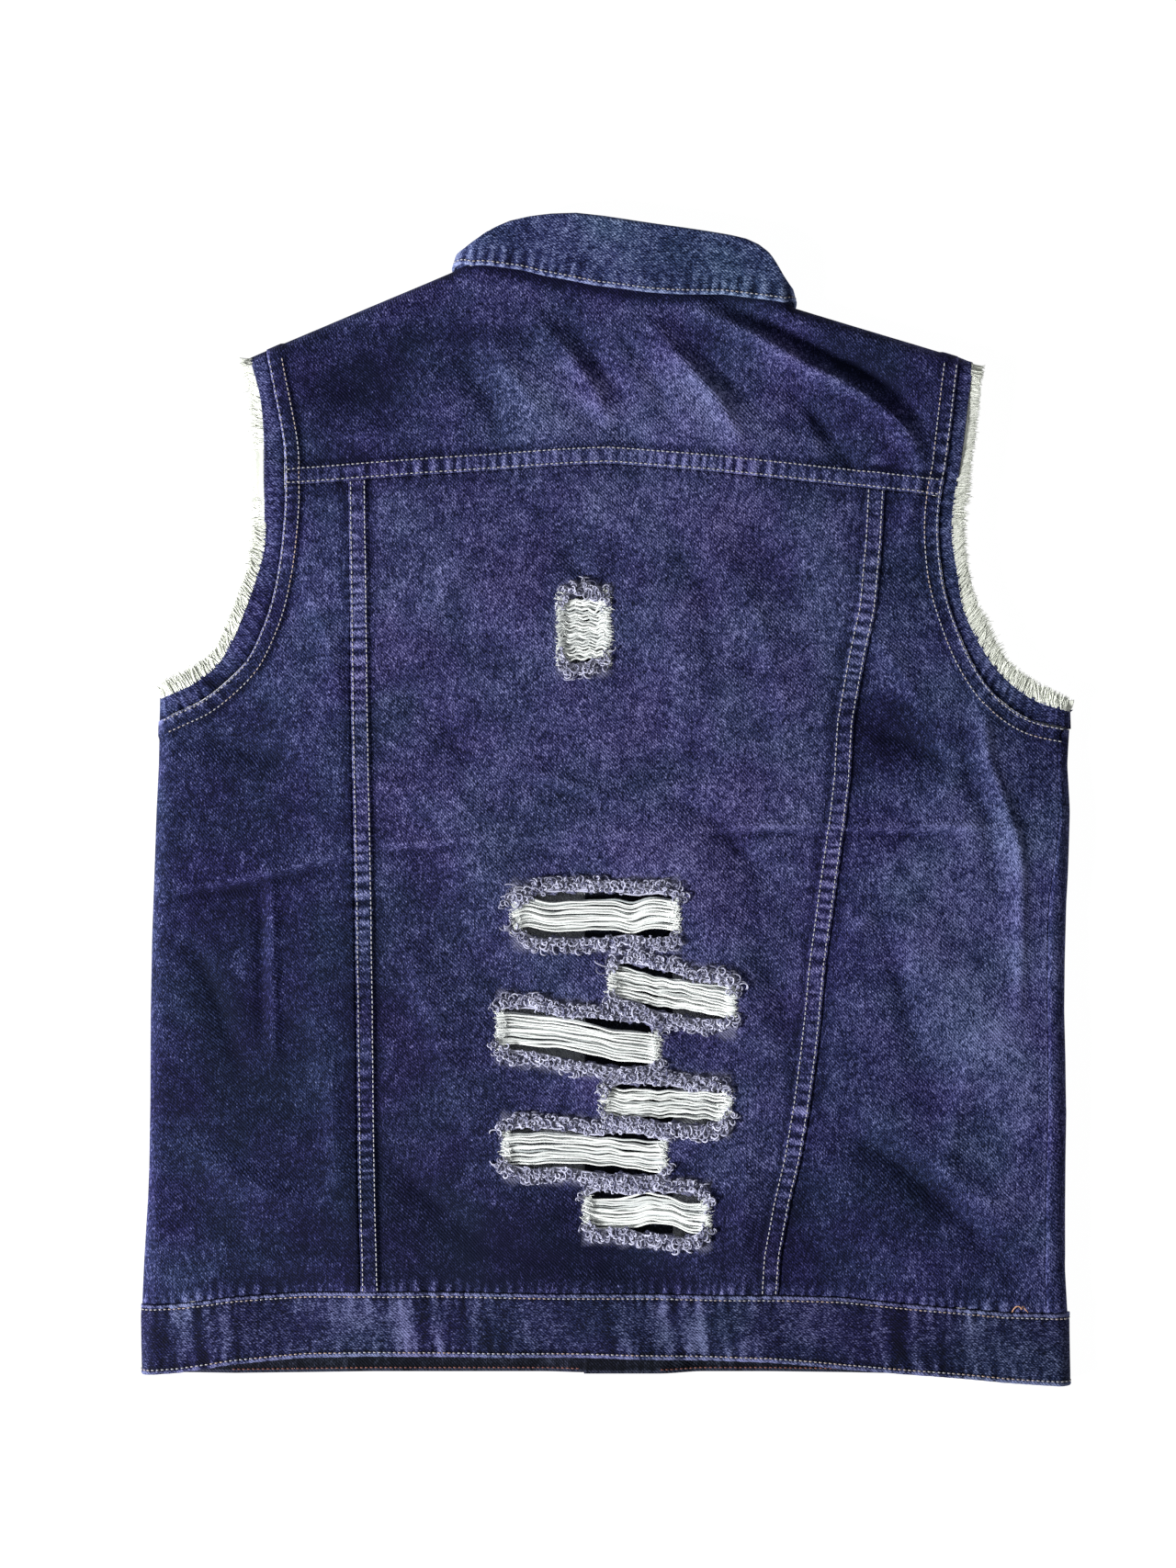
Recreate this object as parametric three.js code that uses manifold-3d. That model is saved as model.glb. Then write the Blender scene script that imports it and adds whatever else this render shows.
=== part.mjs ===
// A sleeveless denim vest, laid flat on its front with the back facing up.
// Two layers of cloth, the back above and the fronts below, meet at the side folds
// and over the shoulders. Millimetres, +Z up, collar towards +Y, and the wearer's left
// towards -X. Every cut piece is a wall of cloth of its own.
import * as THREE from 'three';
import { mergeVertices } from 'three/addons/utils/BufferGeometryUtils.js';
import Module from 'manifold-3d';

const wasm = await Module();
wasm.setup();

// Driving dimensions of the cloth and of how it lies
const CLOTH = 1.2;
const SEAM_GAP = 0.3;
const WAIST_GAP = 0.5;
const BODY_HEIGHT = 13;
const YOKE_HEIGHT = 15;
const FOLD_HEIGHT = 5.5;
const FOLD_ROUND = 9;
const FELL_HALF = 5;
const FELL_WIDTH = 8.5;
const FELL_STEP = 10;
const FELL_RAISE = 0.8;
const COLLAR_CLOTH = 1.8;
const BAND_CLOTH = 2.2;
const COLLAR_GAP = 0.6;
const SHOULDER_WRAP = 18;

// The placket: the left front lies over the right one, nearer to the table
const CENTRE_FRONT = 7;
const LEFT_EDGE = 27;
const RIGHT_EDGE = -13;
const FACING_EDGE = 37;
const LEFT_LIFT = 2.7;
const RIGHT_LIFT = 4.2;
const RIGHT_BAND_LIFT = 5.2;
const LEAF_LIFT = 2.4;
const BUTTON_RADIUS = 8.5;
const BUTTON_HEAD = 2.2;
const SHANK_RADIUS = 2;
const BUTTON_Y = [150, 65, -20, -105, -190];
const BAND_BUTTON_Y = -307;

// Side folds, by height on the body
const SIDES = [
  { y: -334, left: -264.3, right: 263.6 },
  { y: -296, left: -264.8, right: 262.9 },
  { y: -262, left: -263.2, right: 260.9 },
  { y: -218, left: -260.4, right: 260.8 },
  { y: -171, left: -259.7, right: 261.6 },
  { y: -119, left: -259.4, right: 260.3 },
  { y: -77, left: -258.6, right: 260.8 },
  { y: -41, left: -257.3, right: 262.3 },
  { y: -5, left: -256.1, right: 263.4 },
  { y: 20, left: -254.8, right: 262.0 },
  { y: 60, left: -254.0, right: 264.2 },
];

// Shoulder folds, from the neck to the armhole
const SHOULDERS = {
  left: { neck: [-87, 300.4], tip: [-207, 249.6] },
  right: { neck: [107, 279.5], tip: [210, 248.4] },
};

// Seams down the back beside the centre panel: the middle line between their stitch rows
const PRINCESS = [
  { y: -290, left: -134, right: 91.5 },
  { y: -262, left: -134.5, right: 93.3 },
  { y: -232, left: -135.3, right: 98.5 },
  { y: -204, left: -136, right: 105 },
  { y: -176, left: -136.2, right: 109.5 },
  { y: -148, left: -136.4, right: 113.4 },
  { y: -120, left: -136.7, right: 116.4 },
  { y: -92, left: -137.1, right: 118.8 },
  { y: -64, left: -137.5, right: 122.5 },
  { y: -36, left: -138, right: 126 },
  { y: -8, left: -138.5, right: 129.8 },
  { y: 20, left: -139, right: 133 },
  { y: 52, left: -139.7, right: 134.6 },
  { y: 90, left: -140, right: 141 },
  { y: 120, left: -140.2, right: 147 },
  { y: 160, left: -140.8, right: 150.6 },
  { y: 190, left: -141, right: 152 },
];

// Heights of the cross rows in the body panels, below the armholes and beside them
const BODY_ROWS = [-262, -232, -204, -176, -148, -120, -92, -64, -36, -8, 20];
const ARMHOLE_ROWS = [52, 62, 76, 90, 105, 120, 140, 160];

// Armholes from the side fold up to the shoulder: the seam, the cut edge beyond its
// felled band, and the ends of the frayed threads. The front ones are cut deeper.
const ARMHOLES = {
  left: [
    { seam: [-254, 44.7], edge: [-254, 57.7], fray: [-256, 64], front: [-254, 44.7], frontEdge: [-254, 54] },
    { seam: [-241, 50.6], edge: [-245, 61.5], fray: [-246, 70], front: [-238, 43], frontEdge: [-243, 52] },
    { seam: [-228.5, 56.7], edge: [-233, 67.5], fray: [-236, 76], front: [-221, 48], frontEdge: [-227, 56] },
    { seam: [-215.5, 67], edge: [-221, 77], fray: [-226, 84], front: [-205, 58], frontEdge: [-212, 65] },
    { seam: [-204, 79], edge: [-213, 90], fray: [-220, 95], front: [-193, 74], frontEdge: [-201, 79] },
    { seam: [-196.3, 94], edge: [-206.5, 105], fray: [-214, 108],
      front: [-184.5, 94], frontEdge: [-193, 97] },
    { seam: [-190, 112], edge: [-199.5, 124], fray: [-207, 126], front: [-178, 113], frontEdge: [-187, 115] },
    { seam: [-185, 137], edge: [-194.5, 143], fray: [-203, 144], front: [-173, 137], frontEdge: [-182, 138] },
    { seam: [-182.3, 162], edge: [-193.5, 164], fray: [-201, 165],
      front: [-170.5, 162], frontEdge: [-180, 162] },
    { seam: [-181.8, 177.8], edge: [-193.6, 179], fray: [-200.6, 184],
      front: [-172, 182], frontEdge: [-181.5, 182] },
    { seam: [-182.6, 200], edge: [-193.8, 203], fray: [-201.5, 203],
      front: [-177.5, 202], frontEdge: [-187.5, 204] },
    { seam: [-186.6, 223], edge: [-196, 228], fray: [-203.5, 227],
      front: [-186.4, 223], frontEdge: [-195.5, 228] },
    { seam: [-192.8, 255], edge: [-202.5, 251.5], fray: [-209.6, 247],
      front: [-192.8, 255], frontEdge: [-202.5, 251.5] },
  ],
  right: [
    { seam: [264.2, 40.2], edge: [264, 50.5], fray: [265, 57], front: [264.2, 40.2], frontEdge: [264, 48] },
    { seam: [241, 45.2], edge: [245, 56.5], fray: [247, 66], front: [240, 37], frontEdge: [244, 46] },
    { seam: [225, 54.8], edge: [230, 66], fray: [234, 75], front: [221, 43], frontEdge: [227, 52] },
    { seam: [214, 66.4], edge: [219, 77.5], fray: [226, 84], front: [205, 56], frontEdge: [212, 64] },
    { seam: [204, 83.4], edge: [210, 92], fray: [219, 97], front: [194, 74], frontEdge: [202, 79] },
    { seam: [195.8, 104], edge: [202.5, 109], fray: [211.5, 113], front: [186, 97], frontEdge: [194.5, 100] },
    { seam: [190.6, 123], edge: [199, 128], fray: [206.5, 131], front: [179, 120], frontEdge: [188, 122] },
    { seam: [188, 144], edge: [196, 148], fray: [203.7, 149], front: [175, 144], frontEdge: [184, 145] },
    { seam: [187.7, 159], edge: [196, 162], fray: [203.8, 165], front: [174.5, 163], frontEdge: [184, 163] },
    { seam: [188.9, 171.9], edge: [197.6, 175], fray: [206, 179],
      front: [178, 180], frontEdge: [187.5, 180] },
    { seam: [192, 192], edge: [200.5, 195], fray: [208.3, 194],
      front: [184.5, 198], frontEdge: [194.5, 200] },
    { seam: [195.8, 223.6], edge: [204, 223.6], fray: [211.4, 222],
      front: [195.6, 223.6], frontEdge: [203.5, 223.6] },
    { seam: [199.2, 251.6], edge: [207.7, 249.1], fray: [213, 244],
      front: [199.2, 251.6], frontEdge: [207.7, 249.1] },
  ],
};
// The armhole point where the yoke seam runs in
const YOKE_POINT = 9;

// The right front wraps over the side fold onto the back by this much
const WRAP = [
  { y: -290, width: 13.5 },
  { y: -120, width: 11.3 },
  { y: -57, width: 11.5 },
  { y: -12, width: 7.6 },
  { y: 45, width: 6.2 },
];

// Waistband edges, by X. The front half hangs a little below the back half.
const WAIST = [
  { x: -266, top: -286.5, hem: -325.5, front: -325.5 },
  { x: -243, top: -285, hem: -324, front: -326.5 },
  { x: -212, top: -281.2, hem: -319, front: -327 },
  { x: -170, top: -278.7, hem: -315.5, front: -326.5 },
  { x: -134, top: -278.2, hem: -314.6, front: -326 },
  { x: 0, top: -279.6, hem: -315.6, front: -326 },
  { x: 91.5, top: -280.3, hem: -318, front: -326 },
  { x: 133, top: -281.6, hem: -321.8, front: -326.5 },
  { x: 184, top: -286.5, hem: -325.8, front: -327.5 },
  { x: 225, top: -290, hem: -329.5, front: -330 },
  { x: 266, top: -291, hem: -332, front: -332 },
];

// Largest folds of the back: a ridge when height is positive, a valley when negative
const FOLDS = [
  { from: [62, 266], to: [104, 250], height: 3, width: 12 },
  { from: [104, 250], to: [155, 223], height: 3.2, width: 12 },
  { from: [155, 223], to: [174, 198], height: 2.4, width: 12 },
  { from: [84, 241], to: [126, 204], height: -1.8, width: 12 },
  { from: [30, 260], to: [68, 223], height: 1.8, width: 11 },
  { from: [-34, 266], to: [-10, 241], height: 1.3, width: 12 },
  { from: [-213, -46], to: [-146, -29], height: 1.5, width: 13 },
  { from: [-127, -26], to: [-82, -23], height: 1.1, width: 13 },
  { from: [62, -16], to: [185, -15], height: 1.3, width: 13 },
  { from: [214, 40], to: [232, -33], height: 1.8, width: 13 },
  { from: [232, -33], to: [233, -119], height: 1.8, width: 13 },
  { from: [-190, -41], to: [-188, -145], height: 1.3, width: 14 },
  { from: [132, -187], to: [229, -266], height: -1.7, width: 15 },
  { from: [155, 34], to: [193, 15], height: -1.8, width: 14 },
  { from: [46, -5], to: [88, -42], height: -1.3, width: 15 },
];

// Holes worn through the centre panel: ends in X, upper and lower edge at each end, how
// many cross threads are left, the share of the height they fill, and cells in the fray
const RIPS = [
  { name: '1', x: [-25, -1], upper: [115, 115], lower: [78, 78], threads: 8, filled: 0.84, cells: 4 },
  { name: '2', x: [-50, 38], upper: [-53, -51.5], lower: [-77, -79], threads: 6, filled: 0.6, cells: 7 },
  { name: '3', x: [4, 70], upper: [-91, -104], lower: [-114, -127], threads: 6, filled: 0.6, cells: 7 },
  { name: '4', x: [-59, 27], upper: [-116, -127], lower: [-142, -153], threads: 6, filled: 0.6, cells: 7 },
  { name: '5', x: [0, 67], upper: [-160, -163], lower: [-180, -184], threads: 5, filled: 0.6, cells: 7 },
  { name: '6', x: [-56, 31], upper: [-185, -189], lower: [-208, -212.5], threads: 6, filled: 0.6, cells: 7 },
  { name: '7', x: [-10, 55], upper: [-220, -223], lower: [-243, -247], threads: 6, filled: 0.6, cells: 7 },
];
const RIP_POINTS = 8;
const RIP_BLUNTNESS = 9;
const THREAD_WIDTH = 1.2;
const THREAD_HEIGHT = 0.8;
const THREAD_HOLD = 4.5;
const FRAY_WIDTH = 9;
const FRAY_CLOTH = 1;

// The collar has a frame of its own, turned a little on the neck
const COLLAR_CENTRE = [9, 300];
const COLLAR_TURN = -7 * Math.PI / 180;
const NECK_V = -6.3;

const denim = (name, color) => new THREE.MeshStandardMaterial({ name, color, roughness: 0.9 });
const MATERIALS = {
  yoke: denim('denim_yoke', '#494c73'),
  centre: denim('denim_centre', '#3d4062'),
  side: denim('denim_side', '#31345a'),
  front: denim('denim_front', '#3b3e64'),
  facing: denim('denim_facing', '#2b2f49'),
  waist: denim('denim_waistband', '#2f3351'),
  collar: denim('denim_collar', '#3b4765'),
  band: denim('denim_armhole_band', '#333a54'),
  thread: new THREE.MeshStandardMaterial({ name: 'cotton_weft', color: '#d9dce6', roughness: 0.95 }),
  fray: new THREE.MeshStandardMaterial({ name: 'cotton_fray', color: '#8889a4', roughness: 0.95 }),
  metal: new THREE.MeshStandardMaterial({
    name: 'steel_button', color: '#8c8a86', roughness: 0.35, metalness: 1,
  }),
};

const vest = new THREE.Group();
vest.name = 'denim_vest';

const mix = (a, b, t) => a + (b - a) * t;
const clamp = (t) => Math.min(1, Math.max(0, t));
const smooth = (from, to, x) => {
  const t = clamp((x - from) / (to - from));
  return t * t * (3 - 2 * t);
};

// Straight interpolation in a table of rows, by the named column
function readTable(table, by, at, column) {
  let row = 0;
  while (row < table.length - 2 && at > table[row + 1][by]) row += 1;
  const a = table[row];
  const b = table[row + 1];
  return mix(a[column], b[column], clamp((at - a[by]) / (b[by] - a[by])));
}

const sideFold = (side, y) => readTable(SIDES, 'y', y, side);
const princess = (side, y) => readTable(PRINCESS, 'y', y, side) + (side === 'left' ? -FELL_HALF : FELL_HALF);
const waist = (x, column) => readTable(WAIST, 'x', x, column);
const frontWaist = (x) => mix(WAIST[0].top, WAIST[WAIST.length - 1].top, (x + 266) / 532);
const yokeSeam = (x) => 195.3 - FELL_HALF - (x < 0 ? 12.8 : 18) * Math.abs(x / 185) ** 1.15;

function collarToWorld(u, v) {
  const c = Math.cos(COLLAR_TURN);
  const s = Math.sin(COLLAR_TURN);
  return [COLLAR_CENTRE[0] + u * c - v * s, COLLAR_CENTRE[1] + u * s + v * c];
}

// Distance of a point from a line between two ends, and how far along it lies
function alongLine(x, y, from, to) {
  const dx = to[0] - from[0];
  const dy = to[1] - from[1];
  const t = clamp(((x - from[0]) * dx + (y - from[1]) * dy) / (dx * dx + dy * dy));
  const px = from[0] + t * dx;
  const py = from[1] + t * dy;
  return { t, d: Math.hypot(x - px, y - py), px, py };
}

// The nearest fold edge: its distance and the direction outwards
function nearestFold(x, y) {
  let best = { d: Infinity, ox: 0, oy: 0 };
  for (const side of ['left', 'right']) {
    const sign = side === 'left' ? -1 : 1;
    const top = ARMHOLES[side][0].edge[1];
    const edge = sideFold(side, Math.min(y, top));
    const drop = Math.max(0, y - top);
    const inward = (edge - x) * sign;
    const d = Math.hypot(inward, drop);
    if (d < best.d) {
      best = drop > 0 && d > 0.01
        ? { d, ox: sign * inward / d, oy: -drop / d }
        : { d: Math.max(0, inward), ox: sign, oy: 0 };
    }
    const { neck, tip } = SHOULDERS[side];
    const line = alongLine(x, y, neck, tip);
    const length = Math.hypot(tip[0] - neck[0], tip[1] - neck[1]);
    const inwardX = (tip[1] - neck[1]) / length * -sign;
    const inwardY = (tip[0] - neck[0]) / length * sign;
    if (line.d < best.d) {
      best = line.t > 0 && line.t < 1
        ? { d: line.d, ox: inwardX, oy: inwardY }
        : { d: line.d, ox: (line.px - x) / (line.d || 1), oy: (line.py - y) / (line.d || 1) };
      if (line.d < 0.01) best = { d: 0, ox: inwardX, oy: inwardY };
    }
  }
  return best;
}

// Height of the back's outer face away from the fold edges
function backHeight(x, y) {
  const rise = smooth(60, 200, y);
  let height = mix(BODY_HEIGHT, YOKE_HEIGHT, rise);
  for (const fold of FOLDS) {
    const line = alongLine(x, y, fold.from, fold.to);
    const across = Math.exp(-2 * (line.d / fold.width) ** 2);
    height += fold.height * across * Math.sin(Math.PI * mix(0.2, 0.8, line.t));
  }
  return height;
}

// Height of a front's outer face: flat on the table, raised over what lies under it
function frontHeight(x, y, side, onBand) {
  const placket = side === 'left'
    ? LEFT_LIFT * smooth(-38, -6, x)
    : (onBand ? RIGHT_BAND_LIFT : RIGHT_LIFT) * (1 - smooth(LEFT_EDGE + 2, LEFT_EDGE + 28, x));
  const reach = Math.hypot((x - COLLAR_CENTRE[0]) / 140, (y - 290) / 122);
  const underCollar = LEAF_LIFT * (1 - smooth(1, 1.25, reach));
  return Math.max(placket, underCollar);
}

// A point of the cloth's outer face on one layer, with its normal
function clothAt(layer, x, y, side = x < CENTRE_FRONT ? 'left' : 'right', onBand = false) {
  const fold = nearestFold(x, y);
  const c = clamp(1 - fold.d / FOLD_ROUND);
  const s = Math.sqrt(1 - c * c);
  const up = layer === 'back' ? 1 : -1;
  const height = (a, b) => (layer === 'back' ? backHeight(a, b) : frontHeight(a, b, side, onBand));
  const h = height(x, y);
  const rise = Math.abs(h - FOLD_HEIGHT);
  const slopeX = (height(x + 1, y) - height(x - 1, y)) / 2;
  const slopeY = (height(x, y + 1) - height(x, y - 1)) / 2;
  const normal = new THREE.Vector3(
    fold.ox * c * rise / FOLD_ROUND - s * slopeX * up,
    fold.oy * c * rise / FOLD_ROUND - s * slopeY * up,
    s * up,
  ).normalize();
  const point = new THREE.Vector3(x, y, FOLD_HEIGHT + (h - FOLD_HEIGHT) * s);
  return { point, normal, roundness: s };
}

function addMesh(name, material, geometry) {
  const mesh = new THREE.Mesh(geometry, material);
  mesh.name = name;
  vest.add(mesh);
  return mesh;
}

function toGeometry(positions, triangles) {
  let volume = 0;
  const a = new THREE.Vector3();
  const b = new THREE.Vector3();
  const c = new THREE.Vector3();
  for (const [i, j, k] of triangles) {
    a.fromArray(positions[i]);
    b.fromArray(positions[j]);
    c.fromArray(positions[k]);
    volume += a.dot(b.cross(c));
  }
  const ordered = volume < 0 ? triangles.map(([i, j, k]) => [i, k, j]) : triangles;
  const geometry = new THREE.BufferGeometry();
  geometry.setAttribute('position', new THREE.Float32BufferAttribute(positions.flat(), 3));
  geometry.setIndex(ordered.flat());
  return geometry;
}

// A closed wall of cloth from a grid of outer points, each with its normal, how far it is
// raised and how thick it is. Cells with a missing corner are left open, and the wall is
// closed by a rim round whatever edge the cells leave.
function wallGeometry(grid) {
  const positions = [];
  const index = grid.map((row) => row.map((cell) => {
    if (!cell) return null;
    const { point, normal, raise = 0, thick = CLOTH } = cell;
    const outer = point.clone().addScaledVector(normal, raise);
    const inner = point.clone().addScaledVector(normal, raise - thick);
    positions.push(outer.toArray(), inner.toArray());
    return positions.length - 2;
  }));
  const triangles = [];
  const edges = new Map();
  for (let i = 0; i < index.length - 1; i += 1) {
    for (let j = 0; j < index[i].length - 1; j += 1) {
      const ring = [index[i][j], index[i][j + 1], index[i + 1][j + 1], index[i + 1][j]];
      if (ring.some((corner) => corner === null || corner === undefined)) continue;
      const [a, b, c, d] = ring;
      triangles.push([a, b, c], [a, c, d], [a + 1, c + 1, b + 1], [a + 1, d + 1, c + 1]);
      ring.forEach((corner, k) => {
        const next = ring[(k + 1) % 4];
        if (!edges.delete(`${next},${corner}`)) edges.set(`${corner},${next}`, [corner, next]);
      });
    }
  }
  for (const [a, b] of edges.values()) {
    triangles.push([b, a, a + 1], [b, a + 1, b + 1]);
  }
  return toGeometry(positions, triangles);
}

function toSolid(geometry) {
  const bare = geometry.clone();
  bare.deleteAttribute('normal');
  bare.deleteAttribute('uv');
  const merged = mergeVertices(bare, 1e-4);
  return new wasm.Manifold(new wasm.Mesh({
    numProp: 3,
    vertProperties: new Float32Array(merged.attributes.position.array),
    triVerts: new Uint32Array(merged.index.array),
  }));
}

function fromSolid(solid) {
  const mesh = solid.getMesh();
  const geometry = new THREE.BufferGeometry();
  geometry.setAttribute('position', new THREE.Float32BufferAttribute(mesh.vertProperties, 3));
  geometry.setIndex([...mesh.triVerts]);
  return geometry;
}

// Places across a row: fixed steps in from both ends, and even ones between
function steps(length, fromStart, fromEnd, count) {
  const first = fromStart[fromStart.length - 1];
  const last = length - fromEnd[fromEnd.length - 1];
  const middle = [];
  for (let i = 1; i < count; i += 1) middle.push(mix(first, last, i / count));
  return [...fromStart, ...middle, ...fromEnd.map((d) => length - d).reverse()];
}

const ROUND_STEPS = [0, 0.134 * FOLD_ROUND, 0.5 * FOLD_ROUND, FOLD_ROUND];
const FELL_STEPS = [0, FELL_WIDTH, FELL_STEP];

// Rows of the body panels on one side of the back, from the waistband up to the yoke:
// the outer end on the fold or armhole, and the inner end on the long seam
function sideRows(side) {
  const rows = BODY_ROWS.map((y) => (
    { outer: [sideFold(side, y), y], inner: [princess(side, y), y], onFold: true }
  ));
  const foldFoot = sideFold(side, -284);
  const seam = princess(side, -284);
  rows.unshift({
    outer: [foldFoot, waist(foldFoot, 'top') + WAIST_GAP],
    inner: [seam, waist(seam, 'top') + WAIST_GAP],
    onFold: true,
    atWaist: true,
  });
  const tip = ARMHOLES[side][0].seam;
  rows.push({
    outer: [sideFold(side, 38), tip[1] - SEAM_GAP - 1], inner: [princess(side, 40), 40], onFold: true,
  });
  ARMHOLE_ROWS.forEach((y, i) => {
    rows.push({ outer: ARMHOLES[side][i + 1].seam, inner: [princess(side, y), y] });
  });
  const end = ARMHOLES[side][YOKE_POINT].seam;
  const top = princess(side, 180);
  rows.push({
    outer: [end[0], yokeSeam(end[0]) - SEAM_GAP], inner: [top, yokeSeam(top) - SEAM_GAP], atYoke: true,
  });
  return rows;
}

function backSide(side) {
  const sign = side === 'left' ? -1 : 1;
  const grid = sideRows(side).map((row) => {
    const wrap = side === 'right' && row.onFold ? readTable(WRAP, 'y', row.outer[1], 'width') : 0;
    const rim = wrap > 0 ? wrap + SEAM_GAP / 2 : SEAM_GAP / 2;
    const outerX = row.outer[0] - sign * rim;
    const innerX = row.inner[0] + sign * SEAM_GAP / 2;
    const length = Math.abs(outerX - innerX);
    const places = wrap > 0
      ? steps(length, [0, 3], [0], 8)
      : steps(length, [0, 1, 4.4, 9.4], [0], 6);
    return places.map((d) => {
      const t = d / length;
      const x = mix(outerX, innerX, t);
      let y = mix(row.outer[1], row.inner[1], t);
      if (row.atWaist) y = waist(x, 'top') + WAIST_GAP;
      if (row.atYoke) y = yokeSeam(x) - SEAM_GAP;
      return clothAt('back', x, y);
    });
  });
  addMesh(`back_side_${side}`, MATERIALS.side, wallGeometry(grid));
}

// Outline of a rip: two edges that close at nearly square ends
function ripEdge(rip, which, t, margin = 0) {
  const swell = (1 - Math.abs(2 * t - 1) ** RIP_BLUNTNESS) ** 0.6;
  const upper = mix(rip.upper[0], rip.upper[1], t);
  const lower = mix(rip.lower[0], rip.lower[1], t);
  const middle = (upper + lower) / 2;
  const half = (upper - lower) / 2 * swell + margin;
  return [mix(rip.x[0], rip.x[1], t), which === 'upper' ? middle + half : middle - half];
}

function ripCutter(rip) {
  const points = [];
  const place = (i) => 0.5 - 0.5 * Math.cos(Math.PI * i / RIP_POINTS);
  for (let i = 0; i < RIP_POINTS; i += 1) points.push(ripEdge(rip, 'lower', place(i)));
  for (let i = RIP_POINTS; i > 0; i -= 1) points.push(ripEdge(rip, 'upper', place(i)));
  const shape = new THREE.Shape(points.map(([x, y]) => new THREE.Vector2(x, y)));
  const cutter = new THREE.ExtrudeGeometry(shape, { depth: 20, bevelEnabled: false });
  cutter.translate(0, 0, FOLD_HEIGHT);
  return cutter;
}

function backCentre() {
  const left = sideRows('left');
  const right = sideRows('right');
  const grid = left.map((row, i) => {
    const start = row.inner[0] + SEAM_GAP / 2;
    const end = right[i].inner[0] - SEAM_GAP / 2;
    const length = end - start;
    return steps(length, FELL_STEPS, FELL_STEPS, 12).map((d, j, all) => {
      const x = start + d;
      let y = mix(row.inner[1], right[i].inner[1], d / length);
      if (row.atWaist) y = waist(x, 'top') + WAIST_GAP;
      if (row.atYoke) y = yokeSeam(x) - SEAM_GAP;
      const onFell = j < 2 || j > all.length - 3;
      const raise = onFell ? FELL_RAISE : 0;
      return { ...clothAt('back', x, y), raise, thick: CLOTH + raise };
    });
  });
  let solid = toSolid(wallGeometry(grid));
  for (const rip of RIPS) solid = solid.subtract(toSolid(ripCutter(rip)));
  addMesh('back_centre', MATERIALS.centre, fromSolid(solid));
}

// The yoke: columns run from its seam up to the neck, or up to the shoulder fold and
// on over it to the shoulder seam on the front
function backYoke() {
  const columns = [];
  const addColumn = (x, y, wraps) => columns.push({ top: [x, y], wraps });
  const shoulderColumns = 6;
  const neckColumns = 10;
  const ends = {
    left: [ARMHOLES.left[12].seam[0] + SEAM_GAP / 2, ARMHOLES.left[12].seam[1]],
    right: [ARMHOLES.right[12].seam[0] - SEAM_GAP / 2, ARMHOLES.right[12].seam[1]],
  };
  for (let i = 0; i <= shoulderColumns; i += 1) {
    const t = i / shoulderColumns;
    addColumn(mix(ends.left[0], SHOULDERS.left.neck[0], t), mix(ends.left[1], SHOULDERS.left.neck[1], t), true);
  }
  for (let i = 1; i < neckColumns; i += 1) {
    addColumn(...collarToWorld(mix(-93, 97, i / neckColumns), NECK_V), false);
  }
  for (let i = 0; i <= shoulderColumns; i += 1) {
    const t = i / shoulderColumns;
    const [neckX, neckY] = SHOULDERS.right.neck;
    addColumn(mix(neckX, ends.right[0], t), mix(neckY, ends.right[1], t), true);
  }
  const footLeft = ARMHOLES.left[YOKE_POINT].seam[0] + SEAM_GAP / 2;
  const footRight = ARMHOLES.right[YOKE_POINT].seam[0] - SEAM_GAP / 2;
  const topLeft = columns[0].top[0];
  const topRight = columns[columns.length - 1].top[0];
  // Where the armhole bends in from a straight line between the yoke seam and the shoulder
  const bend = (side, k) => {
    const [foot, a, b, top] = ARMHOLES[side].slice(YOKE_POINT).map((row) => row.seam);
    const at = [a, b][k];
    const t = (at[1] - foot[1]) / (top[1] - foot[1]);
    return { t, offset: at[0] - mix(foot[0], top[0], t) };
  };
  const bends = [0, 1].map((k) => ({ left: bend('left', k), right: bend('right', k) }));
  const rowCount = 10 + ROUND_STEPS.length;
  const grid = Array.from({ length: rowCount }, () => []);
  for (const { top, wraps } of columns) {
    const w = (top[0] - topLeft) / (topRight - topLeft);
    const footX = mix(footLeft, footRight, w);
    const foot = [footX, yokeSeam(footX)];
    const length = Math.hypot(top[0] - foot[0], top[1] - foot[1]);
    const knots = [0, FELL_WIDTH / length, FELL_STEP / length];
    bends.forEach((at) => knots.push(mix(at.left.t, at.right.t, w)));
    const nearTop = 1 - FOLD_ROUND / length;
    knots.push(mix(knots[4], nearTop, 0.55), nearTop);
    knots.push(1 - ROUND_STEPS[2] / length, 1 - ROUND_STEPS[1] / length, 1);
    const place = (t) => {
      const bulge = (side) => {
        const [a, b] = bends.map((at) => at[side]);
        if (t < a.t) return a.offset * t / a.t;
        if (t < b.t) return mix(a.offset, b.offset, (t - a.t) / (b.t - a.t));
        return b.offset * (1 - t) / (1 - b.t);
      };
      const pull = mix(bulge('left'), bulge('right'), w) * Math.abs(2 * w - 1);
      return [mix(foot[0], top[0], t) + pull, mix(foot[1], top[1], t)];
    };
    knots.forEach((t, i) => {
      const onFell = i < 2;
      grid[i].push({
        ...clothAt('back', ...place(t)),
        raise: onFell ? FELL_RAISE : 0,
        thick: onFell ? CLOTH + FELL_RAISE : CLOTH,
      });
    });
    [...ROUND_STEPS.slice(1), SHOULDER_WRAP].forEach((d, i) => {
      const side = top[0] < 0 ? 'left' : 'right';
      grid[knots.length + i].push(wraps ? clothAt('front', ...place(1 - d / length), side) : null);
    });
  }
  addMesh('back_yoke', MATERIALS.yoke, wallGeometry(grid));
}

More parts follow.
